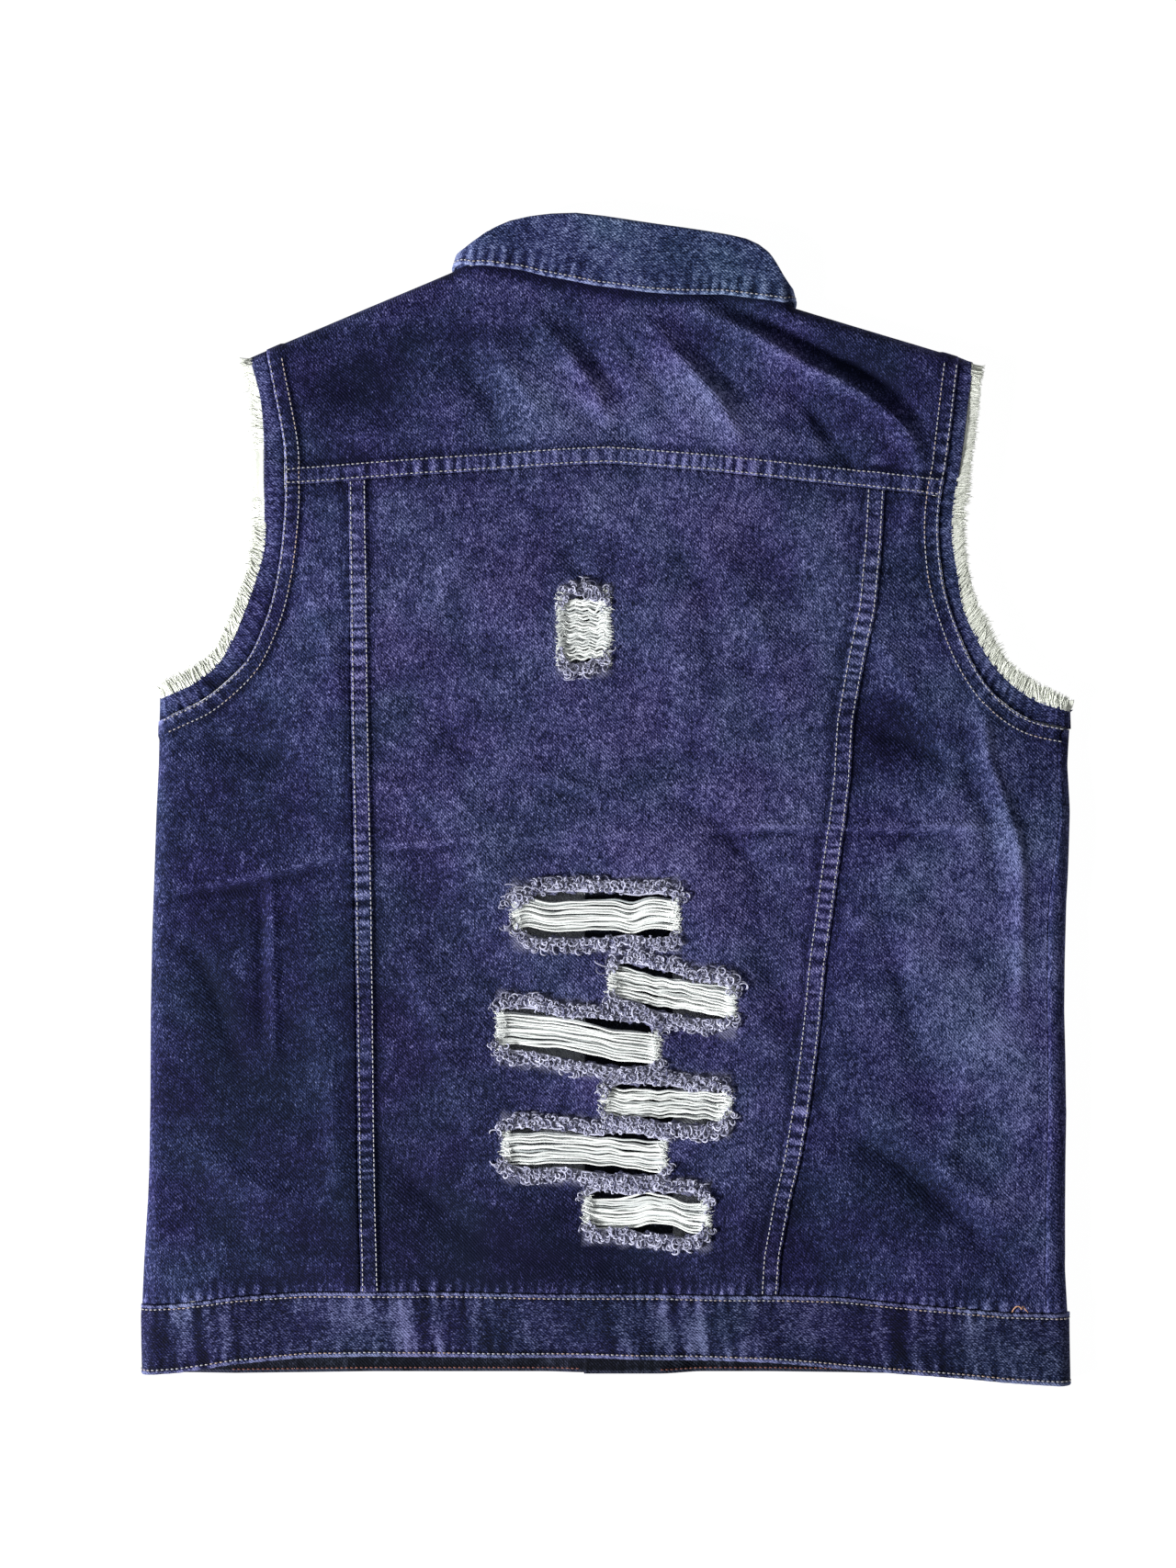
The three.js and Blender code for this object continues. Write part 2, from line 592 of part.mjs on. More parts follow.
// Neckline of the fronts from the shoulder seam down to the centre front
const FRONT_NECK = {
  left: [
    [-78.5, 284], [-76, 268], [-69, 248], [-50, 229], [-22, 217.5], [CENTRE_FRONT, 214], [LEFT_EDGE, 214.5],
  ],
  right: [
    [98.5, 263], [94, 250], [82, 236], [63, 224.5], [LEFT_EDGE + 2.5, 215.4], [CENTRE_FRONT, 214],
    [RIGHT_EDGE, 215.5],
  ],
};

const ACROSS = 7;

// A front: rows from the waistband up to the neck and the shoulder seam, columns from
// its leading edge out to the side. The right one goes on over the side fold.
function front(side) {
  const sign = side === 'left' ? -1 : 1;
  const edgeX = side === 'left' ? LEFT_EDGE : RIGHT_EDGE;
  const grid = [];
  const foldSteps = [...ROUND_STEPS].reverse();
  const bodyRows = [-284, ...BODY_ROWS, side === 'left' ? 42.8 : 37.9];
  for (const y of bodyRows) {
    const foldX = sideFold(side, y);
    const row = [];
    const flatEnd = foldX - sign * FOLD_ROUND;
    const at = (x, layer) => {
      const edgeY = y < BODY_ROWS[0] ? frontWaist(x) + WAIST_GAP : y;
      return clothAt(layer, x, edgeY, side);
    };
    for (let j = 0; j < ACROSS; j += 1) row.push(at(frontColumn(side, edgeX, flatEnd, j), 'front'));
    for (const d of foldSteps.slice(0, 3)) row.push(at(foldX - sign * d, 'front'));
    if (side === 'left') {
      row.push(at(foldX + SEAM_GAP / 4, 'front'));
    } else {
      const wrap = readTable(WRAP, 'y', y, 'width') - SEAM_GAP / 2;
      row.push(at(foldX, 'front'));
      for (const share of [0.12, 0.45, 1]) row.push(at(foldX - wrap * share, 'back'));
    }
    grid.push(row);
  }
  const armhole = ARMHOLES[side].slice(1, 12).map((row) => row.front);
  const upper = [...armhole, shoulderSeamEnd(side)];
  const neck = [...FRONT_NECK[side]].reverse();
  const firstNeckRow = upper.length - neck.length;
  upper.forEach(([armX, armY], i) => {
    const inner = i < firstNeckRow
      ? [edgeX, mix(36, neck[0][1], (i + 1) / (firstNeckRow + 1))]
      : neck[i - firstNeckRow];
    const end = [armX - sign * SEAM_GAP / 2, armY];
    const row = [];
    const overPlacket = side === 'left' ? inner[0] > -6 : inner[0] < LEFT_EDGE + 10;
    for (let j = 0; j <= ACROSS; j += 1) {
      const straight = overPlacket ? frontColumn(side, inner[0], end[0], j) : mix(inner[0], end[0], j / ACROSS);
      const share = (straight - inner[0]) / (end[0] - inner[0]);
      row.push(clothAt('front', straight, mix(inner[1], end[1], share), side));
    }
    grid.push(row);
  });
  let solid = toSolid(wallGeometry(grid));
  if (side === 'left') {
    for (const y of BUTTON_Y) solid = solid.subtract(toSolid(buttonhole(y, LEFT_LIFT + 0.6)));
  }
  addMesh(`front_${side}`, MATERIALS.front, fromSolid(solid));
}

// Columns of a front: closer together where it steps up over the placket
function frontColumn(side, from, to, j) {
  const marks = side === 'left' ? [-6, -22, -38] : [LEFT_EDGE + 2, LEFT_EDGE + 15, LEFT_EDGE + 28];
  if (j === 0) return from;
  if (j > marks.length) return mix(marks[2], to, (j - 3) / (ACROSS - 3));
  return side === 'left' ? Math.min(marks[j - 1], from - 1.5 * j) : Math.max(marks[j - 1], from + 1.5 * j);
}

// Outer end of the shoulder seam on the front, where the yoke's wrapped edge stops
function shoulderSeamEnd(side) {
  const below = ARMHOLES[side][11].seam;
  const seam = ARMHOLES[side][12].seam;
  const t = (SHOULDER_WRAP + SEAM_GAP) / Math.hypot(seam[0] - below[0], seam[1] - below[1]);
  return [mix(seam[0], below[0], t), mix(seam[1], below[1], t)];
}

function buttonhole(y, level) {
  const slot = new THREE.BoxGeometry(14, 2 * SHANK_RADIUS + 0.8, BAND_CLOTH + 1);
  slot.translate(CENTRE_FRONT, y, level + 0.2);
  return slot;
}

function facing() {
  const rows = [-268, ...BODY_ROWS.slice(1), 52, 90, 130, 170, 200];
  const columns = [RIGHT_EDGE + 0.5, 4, 20, LEFT_EDGE + 2, FACING_EDGE];
  const grid = rows.map((y) => columns.map((x) => ({
    ...clothAt('front', x, y, 'right'),
    raise: -(CLOTH + SEAM_GAP),
    thick: 1,
  })));
  addMesh('facing_right', MATERIALS.facing, wallGeometry(grid));
}

// The waistband: one strip from the left front's edge round the back to the right front's
function waistband() {
  const stations = [];
  const bodyEdge = (side) => sideFold(side, -305);
  const rounding = [...ROUND_STEPS].reverse();
  for (const x of [LEFT_EDGE, 16, 5, -6, -22, -38, -80, -125, -170, -215]) {
    stations.push({ layer: 'front', side: 'left', x });
  }
  for (const d of rounding) stations.push({ layer: 'front', side: 'left', x: bodyEdge('left') + d });
  for (const d of ROUND_STEPS.slice(1)) stations.push({ layer: 'back', side: 'left', x: bodyEdge('left') + d });
  for (let x = -235; x <= 235; x += 23.5) stations.push({ layer: 'back', side: 'left', x });
  for (const d of rounding.slice(0, 3)) {
    stations.push({ layer: 'back', side: 'right', x: bodyEdge('right') - d });
  }
  for (const d of ROUND_STEPS) stations.push({ layer: 'front', side: 'right', x: bodyEdge('right') - d });
  for (const x of [215, 170, 125, 85, 55, 42, LEFT_EDGE + 2, 16, 1, RIGHT_EDGE]) {
    stations.push({ layer: 'front', side: 'right', x });
  }
  const grid = stations.map(({ layer, side, x }) => {
    const top = layer === 'back' ? waist(x, 'top') : frontWaist(x);
    const hem = waist(x, layer === 'back' ? 'hem' : 'front');
    return [0, 0.08, 0.5, 0.92, 1].map((t) => {
      const y = mix(hem, top, t);
      const cell = clothAt(layer, x, y, side, true);
      const raise = layer === 'back' ? cell.roundness : 0;
      return { ...cell, raise, thick: BAND_CLOTH };
    });
  });
  const ring = toSolid(wallGeometry(grid)).subtract(toSolid(buttonhole(BAND_BUTTON_Y, LEFT_LIFT + 0.6)));
  addMesh('waistband', MATERIALS.waist, fromSolid(ring));
}

// Points along an armhole on one layer, with extra ones where the cloth turns over a fold
function armholeStations(side, layer) {
  const seamKey = layer === 'back' ? 'seam' : 'front';
  const edgeKey = layer === 'back' ? 'edge' : 'frontEdge';
  const table = ARMHOLES[side];
  const stations = [];
  const add = (a, b, t) => stations.push({
    seam: [mix(a[seamKey][0], b[seamKey][0], t), mix(a[seamKey][1], b[seamKey][1], t)],
    edge: [mix(a[edgeKey][0], b[edgeKey][0], t), mix(a[edgeKey][1], b[edgeKey][1], t)],
    fray: [mix(a.fray[0], b.fray[0], t), mix(a.fray[1], b.fray[1], t)],
  });
  const near = [0.02, 0.13, 0.42];
  near.forEach((t) => add(table[0], table[1], t));
  for (let i = 1; i < 12; i += 1) add(table[i], table[i], 0);
  [0.6, 0.82, 0.94, 0.995].forEach((t) => add(table[11], table[12], t));
  return stations;
}

function armholeBand(side, layer) {
  const sign = side === 'left' ? -1 : 1;
  const grid = armholeStations(side, layer).map(({ seam, edge }) => [0, 0.5, 1].map((t) => {
    const gap = t === 0 ? sign * SEAM_GAP / 2 : 0;
    const lift = t === 0 ? SEAM_GAP : 0;
    const cell = clothAt(layer, mix(seam[0], edge[0], t) + gap, mix(seam[1], edge[1], t) + lift, side);
    const raise = layer === 'back' ? 0.5 * cell.roundness : 0;
    return { ...cell, raise, thick: CLOTH + 0.5 };
  }));
  addMesh(`armhole_band_${layer}_${side}`, MATERIALS.band, wallGeometry(grid));
}

// Frayed threads: a narrow root strip along the cut edge with pointed strands
function armholeFringe(side, layer, strandCount) {
  const stations = armholeStations(side, layer);
  const sign = side === 'left' ? -1 : 1;
  const lengths = [0];
  for (let i = 1; i < stations.length; i += 1) {
    const [a, b] = [stations[i - 1].edge, stations[i].edge];
    lengths.push(lengths[i - 1] + Math.hypot(b[0] - a[0], b[1] - a[1]));
  }
  const total = lengths[lengths.length - 1];
  const locate = (distance) => {
    let i = 0;
    while (i < lengths.length - 2 && distance > lengths[i + 1]) i += 1;
    const t = clamp((distance - lengths[i]) / (lengths[i + 1] - lengths[i]));
    const [a, b] = [stations[i], stations[i + 1]];
    const edge = [mix(a.edge[0], b.edge[0], t), mix(a.edge[1], b.edge[1], t)];
    const fray = [mix(a.fray[0], b.fray[0], t), mix(a.fray[1], b.fray[1], t)];
    const seam = [mix(a.seam[0], b.seam[0], t), mix(a.seam[1], b.seam[1], t)];
    const out = new THREE.Vector3(edge[0] - seam[0], edge[1] - seam[1], 0).normalize();
    const cell = clothAt(layer, edge[0], edge[1], side);
    return { cell, out, reach: Math.hypot(fray[0] - edge[0], fray[1] - edge[1]) };
  };
  const positions = [];
  const triangles = [];
  const sectionCount = 2 * strandCount + 1;
  const margin = 2;
  for (let i = 0; i < sectionCount; i += 1) {
    const shift = i % 2 === 1 ? -0.3 : 0.3;
    const { cell, out } = locate(mix(margin, total - margin, clamp((i + shift) / (sectionCount - 1))));
    for (const [outward, down] of [[0.5, 0.1], [1.7, 0.1], [1.7, 0.9], [0.5, 0.9]]) {
      const place = cell.point.clone().addScaledVector(out, outward).addScaledVector(cell.normal, -down);
      positions.push(place.toArray());
    }
  }
  for (let i = 0; i < sectionCount - 1; i += 1) {
    const a = 4 * i;
    const b = a + 4;
    for (let k = 0; k < 4; k += 1) {
      const n = (k + 1) % 4;
      if (k === 1 && i % 2 === 0) continue;
      triangles.push([a + k, b + k, b + n], [a + k, b + n, a + n]);
    }
    if (i % 2 === 0) {
      const { cell, out, reach } = locate(mix(margin, total - margin, (i + 0.5) / (sectionCount - 1)));
      const length = (layer === 'back' ? reach : 6) * (0.8 + 0.2 * Math.sin(i * 2.3));
      const tip = cell.point.clone().addScaledVector(out, length).addScaledVector(cell.normal, -0.5);
      tip.y += sign * 1.2 * Math.sin(i * 1.7);
      positions.push(tip.toArray());
      const apex = positions.length - 1;
      const base = [a + 1, b + 1, b + 2, a + 2];
      base.forEach((corner, k) => triangles.push([corner, base[(k + 1) % 4], apex]));
    }
  }
  triangles.push([0, 1, 2], [0, 2, 3]);
  const last = 4 * (sectionCount - 1);
  triangles.push([last, last + 2, last + 1], [last, last + 3, last + 2]);
  addMesh(`armhole_fringe_${layer}_${side}`, MATERIALS.thread, toGeometry(positions, triangles));
}

// A four-sided bar through points under the back, for threads and their roots
function barSolid(points, width, height, depth) {
  const positions = [];
  const triangles = [];
  points.forEach(([x, y], i) => {
    const [nx, ny] = points[Math.min(i + 1, points.length - 1)];
    const [px, py] = points[Math.max(i - 1, 0)];
    const length = Math.hypot(nx - px, ny - py);
    const side = [-(ny - py) / length * width / 2, (nx - px) / length * width / 2];
    const { point } = clothAt('back', x, y);
    const top = point.z - depth;
    positions.push([x + side[0], y + side[1], top], [x - side[0], y - side[1], top]);
    positions.push([x - side[0], y - side[1], top - height], [x + side[0], y + side[1], top - height]);
  });
  for (let i = 0; i < points.length - 1; i += 1) {
    for (let k = 0; k < 4; k += 1) {
      const a = 4 * i + k;
      const b = 4 * i + (k + 1) % 4;
      triangles.push([a, a + 4, b + 4], [a, b + 4, b]);
    }
  }
  const last = 4 * (points.length - 1);
  triangles.push([0, 1, 2], [0, 2, 3], [last, last + 2, last + 1], [last, last + 3, last + 2]);
  return toSolid(toGeometry(positions, triangles));
}

// Threads left across a rip, held at both ends by a root strip under the cloth
function ripThreads(rip) {
  const depth = CLOTH + SEAM_GAP;
  const start = rip.x[0] - THREAD_HOLD;
  const end = rip.x[1] + THREAD_HOLD;
  const height = rip.upper[0] - rip.lower[0];
  const spread = height * rip.filled;
  const count = Math.max(2, Math.round((end - start) / 26));
  const middle = (t) => (mix(rip.upper[0], rip.upper[1], t) + mix(rip.lower[0], rip.lower[1], t)) / 2;
  let solid = null;
  for (const t of [0, 1]) {
    const x = mix(start, end, t);
    const root = [-1, 0, 1].map((k) => [x, middle(t) + k * (spread / 2 + 1.5)]);
    const strip = barSolid(root, 2, THREAD_HEIGHT, depth);
    solid = solid ? solid.add(strip) : strip;
  }
  for (let i = 0; i < rip.threads; i += 1) {
    const offset = mix(-spread / 2, spread / 2, i / (rip.threads - 1));
    const points = [];
    for (let j = 0; j <= count; j += 1) {
      const t = j / count;
      const sway = j === 0 || j === count ? 0 : 0.5 * Math.sin(2.1 * i + 1.3 * j);
      points.push([mix(start, end, t), middle(t) + offset + sway]);
    }
    solid = solid.add(barSolid(points, THREAD_WIDTH, THREAD_HEIGHT * 0.9, depth + 0.03));
  }
  addMesh(`rip_threads_${rip.name}`, MATERIALS.thread, fromSolid(solid));
}

// A frayed strip on the cloth along one edge of a rip
function ripFray(number, which) {
  const rip = RIPS[number];
  const outward = which === 'upper' ? 1 : -1;
  const neighbour = RIPS[number - outward];
  const count = rip.cells;
  const room = (x, y) => {
    if (!neighbour) return FRAY_WIDTH;
    const t = (x - neighbour.x[0]) / (neighbour.x[1] - neighbour.x[0]);
    if (t < -0.2 || t > 1.2) return FRAY_WIDTH;
    const facingEdge = ripEdge(neighbour, which === 'upper' ? 'lower' : 'upper', mix(0.15, 0.85, clamp(t)))[1];
    return Math.min(FRAY_WIDTH, Math.abs(facingEdge - y) / 2 - 1);
  };
  const grid = [];
  for (let i = 0; i <= count; i += 1) {
    const t = mix(-0.04, 1.04, i / count);
    const inner = ripEdge(rip, which, clamp(mix(0.03, 0.97, i / count)), 0.8);
    const x = mix(rip.x[0], rip.x[1], t);
    const width = room(x, inner[1]) * (0.78 + 0.2 * Math.sin(1.9 * i + number));
    grid.push([0, 0.5, 1].map((s) => ({
      ...clothAt('back', x, inner[1] + outward * width * s),
      raise: SEAM_GAP + FRAY_CLOTH * (s === 0.5 ? 1.25 : 1),
      thick: FRAY_CLOTH * (s === 0.5 ? 1.25 : 1),
    })));
  }
  addMesh(`rip_fray_${rip.name}_${which}`, MATERIALS.fray, wallGeometry(grid));
}

// The collar: a hairpin of stand and leaf carried round the neck. Each station has its
// seam point, the way the stand leaves it, and the lengths of stand and leaf. Turn is 0
// on the back, where the leaf lies above the stand, and 180 on the front.
const COLLAR_STATIONS = {
  right: [
    { u: 0, v: -6, lean: 0, stand: 34, leaf: 39.6, turn: 0 },
    { u: 15, v: -6, lean: 0, stand: 33.6, leaf: 39.4, turn: 0 },
    { u: 30, v: -6, lean: 0, stand: 33.4, leaf: 38.4, turn: 0 },
    { u: 45, v: -6, lean: 0, stand: 33, leaf: 36.4, turn: 0 },
    { u: 58, v: -6, lean: 0, stand: 32.4, leaf: 33.6, turn: 0 },
    { u: 67, v: -6, lean: 0, stand: 31.4, leaf: 31.8, turn: 0 },
    { u: 74.5, v: -6, lean: 0, stand: 29, leaf: 29.2, turn: 0 },
    { u: 81, v: -6, lean: 0, stand: 25, leaf: 25.4, turn: 0 },
    { u: 86.5, v: -6, lean: 3, stand: 20, leaf: 20.6, turn: 8 },
    { u: 91.5, v: -6.2, lean: 8, stand: 14.5, leaf: 14.8, turn: 25 },
    { u: 95.5, v: -6.4, lean: 16, stand: 11, leaf: 11, turn: 50 },
  ],
  left: [
    { u: -15, v: -6, lean: 0, stand: 34.4, leaf: 40, turn: 0 },
    { u: -30, v: -6, lean: 0, stand: 34.2, leaf: 38.6, turn: 0 },
    { u: -44, v: -6, lean: 0, stand: 32, leaf: 35.6, turn: 0 },
    { u: -56, v: -6, lean: 0, stand: 29, leaf: 31, turn: 0 },
    { u: -67, v: -6, lean: 0, stand: 25, leaf: 26.4, turn: 0 },
    { u: -77, v: -6, lean: 0, stand: 18.6, leaf: 19.2, turn: 5 },
    { u: -84, v: -7, lean: -4, stand: 14.6, leaf: 14.8, turn: 22 },
    { u: -89.5, v: -8, lean: -10, stand: 11.6, leaf: 11.6, turn: 48 },
  ],
};
const FRONT_STATIONS = {
  right: [
    { x: 105.6, y: 281.4, angle: 108, stand: 8, leaf: 8, turn: 90 },
    { x: 103.6, y: 276.5, angle: 125, stand: 9, leaf: 12, turn: 140 },
    { x: 101, y: 270.5, angle: 145, stand: 11, leaf: 24, turn: 172 },
    { x: 97.6, y: 263, angle: 158, stand: 14, leaf: 36, turn: 180 },
    { x: 92, y: 250.5, angle: 148, stand: 17, leaf: 46, turn: 180 },
    { x: 80.8, y: 237, angle: 132, stand: 19, leaf: 52, turn: 180 },
    { x: 62, y: 225.5, angle: 112, stand: 20, leaf: 56, turn: 180 },
    { x: 36, y: 218, angle: 101, stand: 20, leaf: 60, turn: 180 },
    { x: 22, y: 215.4, angle: 94, stand: 20, leaf: 62, turn: 180 },
    { x: CENTRE_FRONT + 2, y: 214.6, angle: 84, stand: 20, leaf: 62, turn: 180 },
  ],
  left: [
    { x: -85.8, y: 301.6, angle: 72, stand: 8, leaf: 8, turn: 90 },
    { x: -83.2, y: 297.6, angle: 58, stand: 9, leaf: 12, turn: 140 },
    { x: -80.6, y: 290.5, angle: 38, stand: 11, leaf: 24, turn: 172 },
    { x: -77.4, y: 283, angle: 22, stand: 14, leaf: 36, turn: 180 },
    { x: -74.4, y: 268.5, angle: 20, stand: 17, leaf: 44, turn: 180 },
    { x: -67.6, y: 249.6, angle: 34, stand: 19, leaf: 50, turn: 180 },
    { x: -49, y: 230.2, angle: 58, stand: 20, leaf: 55, turn: 180 },
    { x: -21.6, y: 218.6, angle: 78, stand: 20, leaf: 60, turn: 180 },
    { x: CENTRE_FRONT - 2, y: 214.9, angle: 97, stand: 20, leaf: 62, turn: 180 },
  ],
};

function collarSection(station, side) {
  const { stand, leaf } = station;
  const level = station.u === undefined ? frontHeight(station.x, station.y, side, false) : 0;
  const gap = station.turn > 90 ? Math.max(COLLAR_GAP, level - COLLAR_CLOTH) : COLLAR_GAP;
  const inner = stand - COLLAR_CLOTH - 0.1;
  const t = COLLAR_CLOTH;
  const full = gap + t;
  const edge = stand - leaf;
  const profile = [
    [edge, full], [mix(edge, stand, 0.5), full], [stand - 1.9, full], [stand - 0.5, full * 0.72],
    [stand, gap / 2], [stand - 0.5, -t * 0.62], [stand - 1.9, -t], [stand * 0.45, -t], [0, -t],
    [0, 0], [stand * 0.45, 0], [inner - 0.2, 0], [inner + 0.1, gap / 2], [inner - 0.2, gap],
    [mix(edge, stand, 0.5), gap], [edge, gap],
  ];
  const turn = station.turn * Math.PI / 180;
  let base;
  let angle;
  if (station.u !== undefined) {
    const [x, y] = collarToWorld(station.u, station.v);
    angle = Math.PI / 2 + COLLAR_TURN + station.lean * Math.PI / 180;
    base = new THREE.Vector3(x, y, mix(YOKE_HEIGHT, FOLD_HEIGHT + 3, Math.sin(turn) ** 2));
  } else {
    angle = station.angle * Math.PI / 180;
    const ease = clamp((station.turn - 90) / 82);
    base = new THREE.Vector3(station.x, station.y, mix(FOLD_HEIGHT, level, Math.sin(ease * Math.PI / 2)));
  }
  const along = new THREE.Vector3(Math.cos(angle), Math.sin(angle), 0);
  const lateral = new THREE.Vector3(Math.sin(angle), -Math.cos(angle), 0);
  lateral.multiplyScalar(side === 'left' ? -1 : 1);
  const off = new THREE.Vector3(0, 0, Math.cos(turn)).addScaledVector(lateral, Math.sin(turn));
  const points = profile.map(([s, lift]) => base.clone().addScaledVector(along, s).addScaledVector(off, lift));
  return { points, profile };
}

function collar() {
  const leftSide = [...COLLAR_STATIONS.left, ...FRONT_STATIONS.left].map((row) => collarSection(row, 'left'));
  const rightRows = [...COLLAR_STATIONS.right, ...FRONT_STATIONS.right];
  const rightSide = rightRows.map((row) => collarSection(row, 'right'));
  const sections = [...leftSide.reverse(), ...rightSide];
  const size = sections[0].points.length;
  const positions = sections.flatMap((section) => section.points.map((point) => point.toArray()));
  const triangles = [];
  for (let i = 0; i < sections.length - 1; i += 1) {
    for (let k = 0; k < size; k += 1) {
      const a = size * i + k;
      const b = size * i + (k + 1) % size;
      triangles.push([a, a + size, b + size], [a, b + size, b]);
    }
  }
  for (const [i, flip] of [[0, false], [sections.length - 1, true]]) {
    const outline = sections[i].profile.map(([x, y]) => new THREE.Vector2(x, y));
    for (const [a, b, c] of THREE.ShapeUtils.triangulateShape(outline, [])) {
      const corners = [a, b, c].map((k) => size * i + k);
      triangles.push(flip ? corners : corners.reverse());
    }
  }
  addMesh('collar', MATERIALS.collar, toGeometry(positions, triangles));
}

// A tack button: a low domed head under the cloth and a shank up through the buttonhole
function button(number, y, shankEnd) {
  const head = BUTTON_RADIUS;
  const profile = [
    [0, 0], [head * 0.8, 0], [head, 0.8], [head, BUTTON_HEAD], [SHANK_RADIUS, BUTTON_HEAD],
    [SHANK_RADIUS, shankEnd], [0, shankEnd],
  ].map(([x, z]) => new THREE.Vector2(x, z));
  const geometry = new THREE.LatheGeometry(profile, 12);
  geometry.rotateX(Math.PI / 2);
  const mesh = addMesh(`button_${number}`, MATERIALS.metal, geometry);
  mesh.position.set(CENTRE_FRONT, y, 0);
}

for (const side of ['left', 'right']) {
  backSide(side);
  front(side);
  for (const layer of ['back', 'front']) {
    armholeBand(side, layer);
    armholeFringe(side, layer, layer === 'back' ? 32 : 20);
  }
}
backCentre();
backYoke();
facing();
waistband();
collar();
RIPS.forEach((rip, number) => {
  ripThreads(rip);
  ripFray(number, 'upper');
  ripFray(number, 'lower');
});
BUTTON_Y.forEach((y, i) => button(i + 1, y, RIGHT_LIFT - SEAM_GAP));
button(BUTTON_Y.length + 1, BAND_BUTTON_Y, RIGHT_BAND_LIFT - SEAM_GAP);

export default vest;
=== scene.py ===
"""A sleeveless denim vest laid flat with its back up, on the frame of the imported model.

Lengths in the tables are millimetres, +X towards the wearer's right, +Y towards the collar.
"""
import math

import bpy
import numpy as np
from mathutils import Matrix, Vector


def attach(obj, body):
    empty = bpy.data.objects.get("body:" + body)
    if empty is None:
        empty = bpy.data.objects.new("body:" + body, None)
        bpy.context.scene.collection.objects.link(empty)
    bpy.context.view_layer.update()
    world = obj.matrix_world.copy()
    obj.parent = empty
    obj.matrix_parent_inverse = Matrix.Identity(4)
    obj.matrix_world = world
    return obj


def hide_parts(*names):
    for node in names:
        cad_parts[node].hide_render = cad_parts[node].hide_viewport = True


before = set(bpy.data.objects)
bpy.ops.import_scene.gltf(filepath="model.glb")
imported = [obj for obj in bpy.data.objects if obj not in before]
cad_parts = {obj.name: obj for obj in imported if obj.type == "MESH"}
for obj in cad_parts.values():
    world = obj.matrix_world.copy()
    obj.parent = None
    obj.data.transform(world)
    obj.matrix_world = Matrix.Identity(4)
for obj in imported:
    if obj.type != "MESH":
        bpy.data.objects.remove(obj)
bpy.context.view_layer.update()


# Camera, light and floor.
# The vest is seen from straight above. A broad lamp low on the left rakes over the cloth, so
# that its creases show, a soft one overhead fills the shadows, and the floor is white.
scene = bpy.context.scene
scene.view_settings.view_transform = "Standard"
camera_data = bpy.data.cameras.new("camera")
camera_data.sensor_fit = "VERTICAL"
camera_data.sensor_height = 36
camera_data.lens = 50
camera = bpy.data.objects.new("camera", camera_data)
CAMERA_PLACE = (-0.0107, 0.0091, 1.245)
camera.location = CAMERA_PLACE
scene.collection.objects.link(camera)
scene.camera = camera


def lamp(name, place, aim, size, power):
    """A round soft lamp that faces a point."""
    data = bpy.data.lights.new(name, "AREA")
    data.shape = "DISK"
    data.size = size
    data.energy = power
    made = bpy.data.objects.new(name, data)
    scene.collection.objects.link(made)
    made.location = place
    way = Vector(aim) - Vector(place)
    made.rotation_euler = way.to_track_quat("-Z", "Y").to_euler()


lamp("rake_lamp", (-2.1, -0.85, 1.12), (0, 0, 0), 0.7, 150)
lamp("fill_lamp", (0.5, 0.6, 2.4), (0, 0, 0), 2.6, 9)
world = bpy.data.worlds.new("studio")
scene.world = world
world.use_nodes = True
world.node_tree.nodes["Background"].inputs["Color"].default_value = (0.96, 0.98, 1, 1)
world.node_tree.nodes["Background"].inputs["Strength"].default_value = 0.16


def linear(colour):
    """An sRGB hex colour as linear red, green, blue and alpha."""
    parts = [int(colour[i:i + 2], 16) / 255 for i in (1, 3, 5)]
    return tuple(c / 12.92 if c <= 0.04045 else ((c + 0.055) / 1.055) ** 2.4 for c in parts) + (1,)


def add(tree, kind, inputs=None, **settings):
    """A new node with its settings, and its inputs set or linked."""
    made = tree.nodes.new("ShaderNode" + kind)
    for name, value in settings.items():
        setattr(made, name, value)
    for key, value in (inputs or {}).items():
        if isinstance(value, bpy.types.NodeSocket):
            tree.links.new(value, made.inputs[key])
        else:
            made.inputs[key].default_value = value
    return made


def new_material(name):
    """An empty material, its node tree and the node that takes its surface."""
    made = bpy.data.materials.new(name)
    made.use_nodes = True
    made.node_tree.nodes.clear()
    return made, made.node_tree, add(made.node_tree, "OutputMaterial")


FLOOR_HALF = 4
floor_mesh = bpy.data.meshes.new("floor")
floor_corners = [(x * FLOOR_HALF, y * FLOOR_HALF, 0) for x, y in ((-1, -1), (1, -1), (1, 1), (-1, 1))]
floor_mesh.from_pydata(floor_corners, [], [(0, 1, 2, 3)])
floor = bpy.data.objects.new("floor", floor_mesh)
scene.collection.objects.link(floor)
paper, tree, output = new_material("white_paper")
shader = add(tree, "BsdfPrincipled", {
    "Base Color": (0.08, 0.08, 0.08, 1), "Roughness": 0.9, "Emission Color": (1, 1, 1, 1),
    "Emission Strength": 0.97})
tree.links.new(shader.outputs[0], output.inputs[0])
floor_mesh.materials.append(paper)


# Back centre panel.
# The widest panel of the back, cut from washed denim and worn through in seven places. Its
# long edges are turned and felled over the side panels. Here too is how the whole back lies.
MM = 0.001
CLOTH = 1.2
SEAM_GAP = 0.3
WAIST_GAP = 0.5
BODY_HEIGHT = 13
YOKE_HEIGHT = 15
FOLD_HEIGHT = 5.5
FOLD_ROUND = 9
FELL_RAISE = 0.8
LEFT_EDGE = 27
RIGHT_EDGE = -13
LEFT_LIFT = 2.7
RIGHT_LIFT = 4.2
RIGHT_BAND_LIFT = 5.2
LEAF_LIFT = 2.4
SIGNS = {"left": -1, "right": 1}
ROUND_STEPS = 7

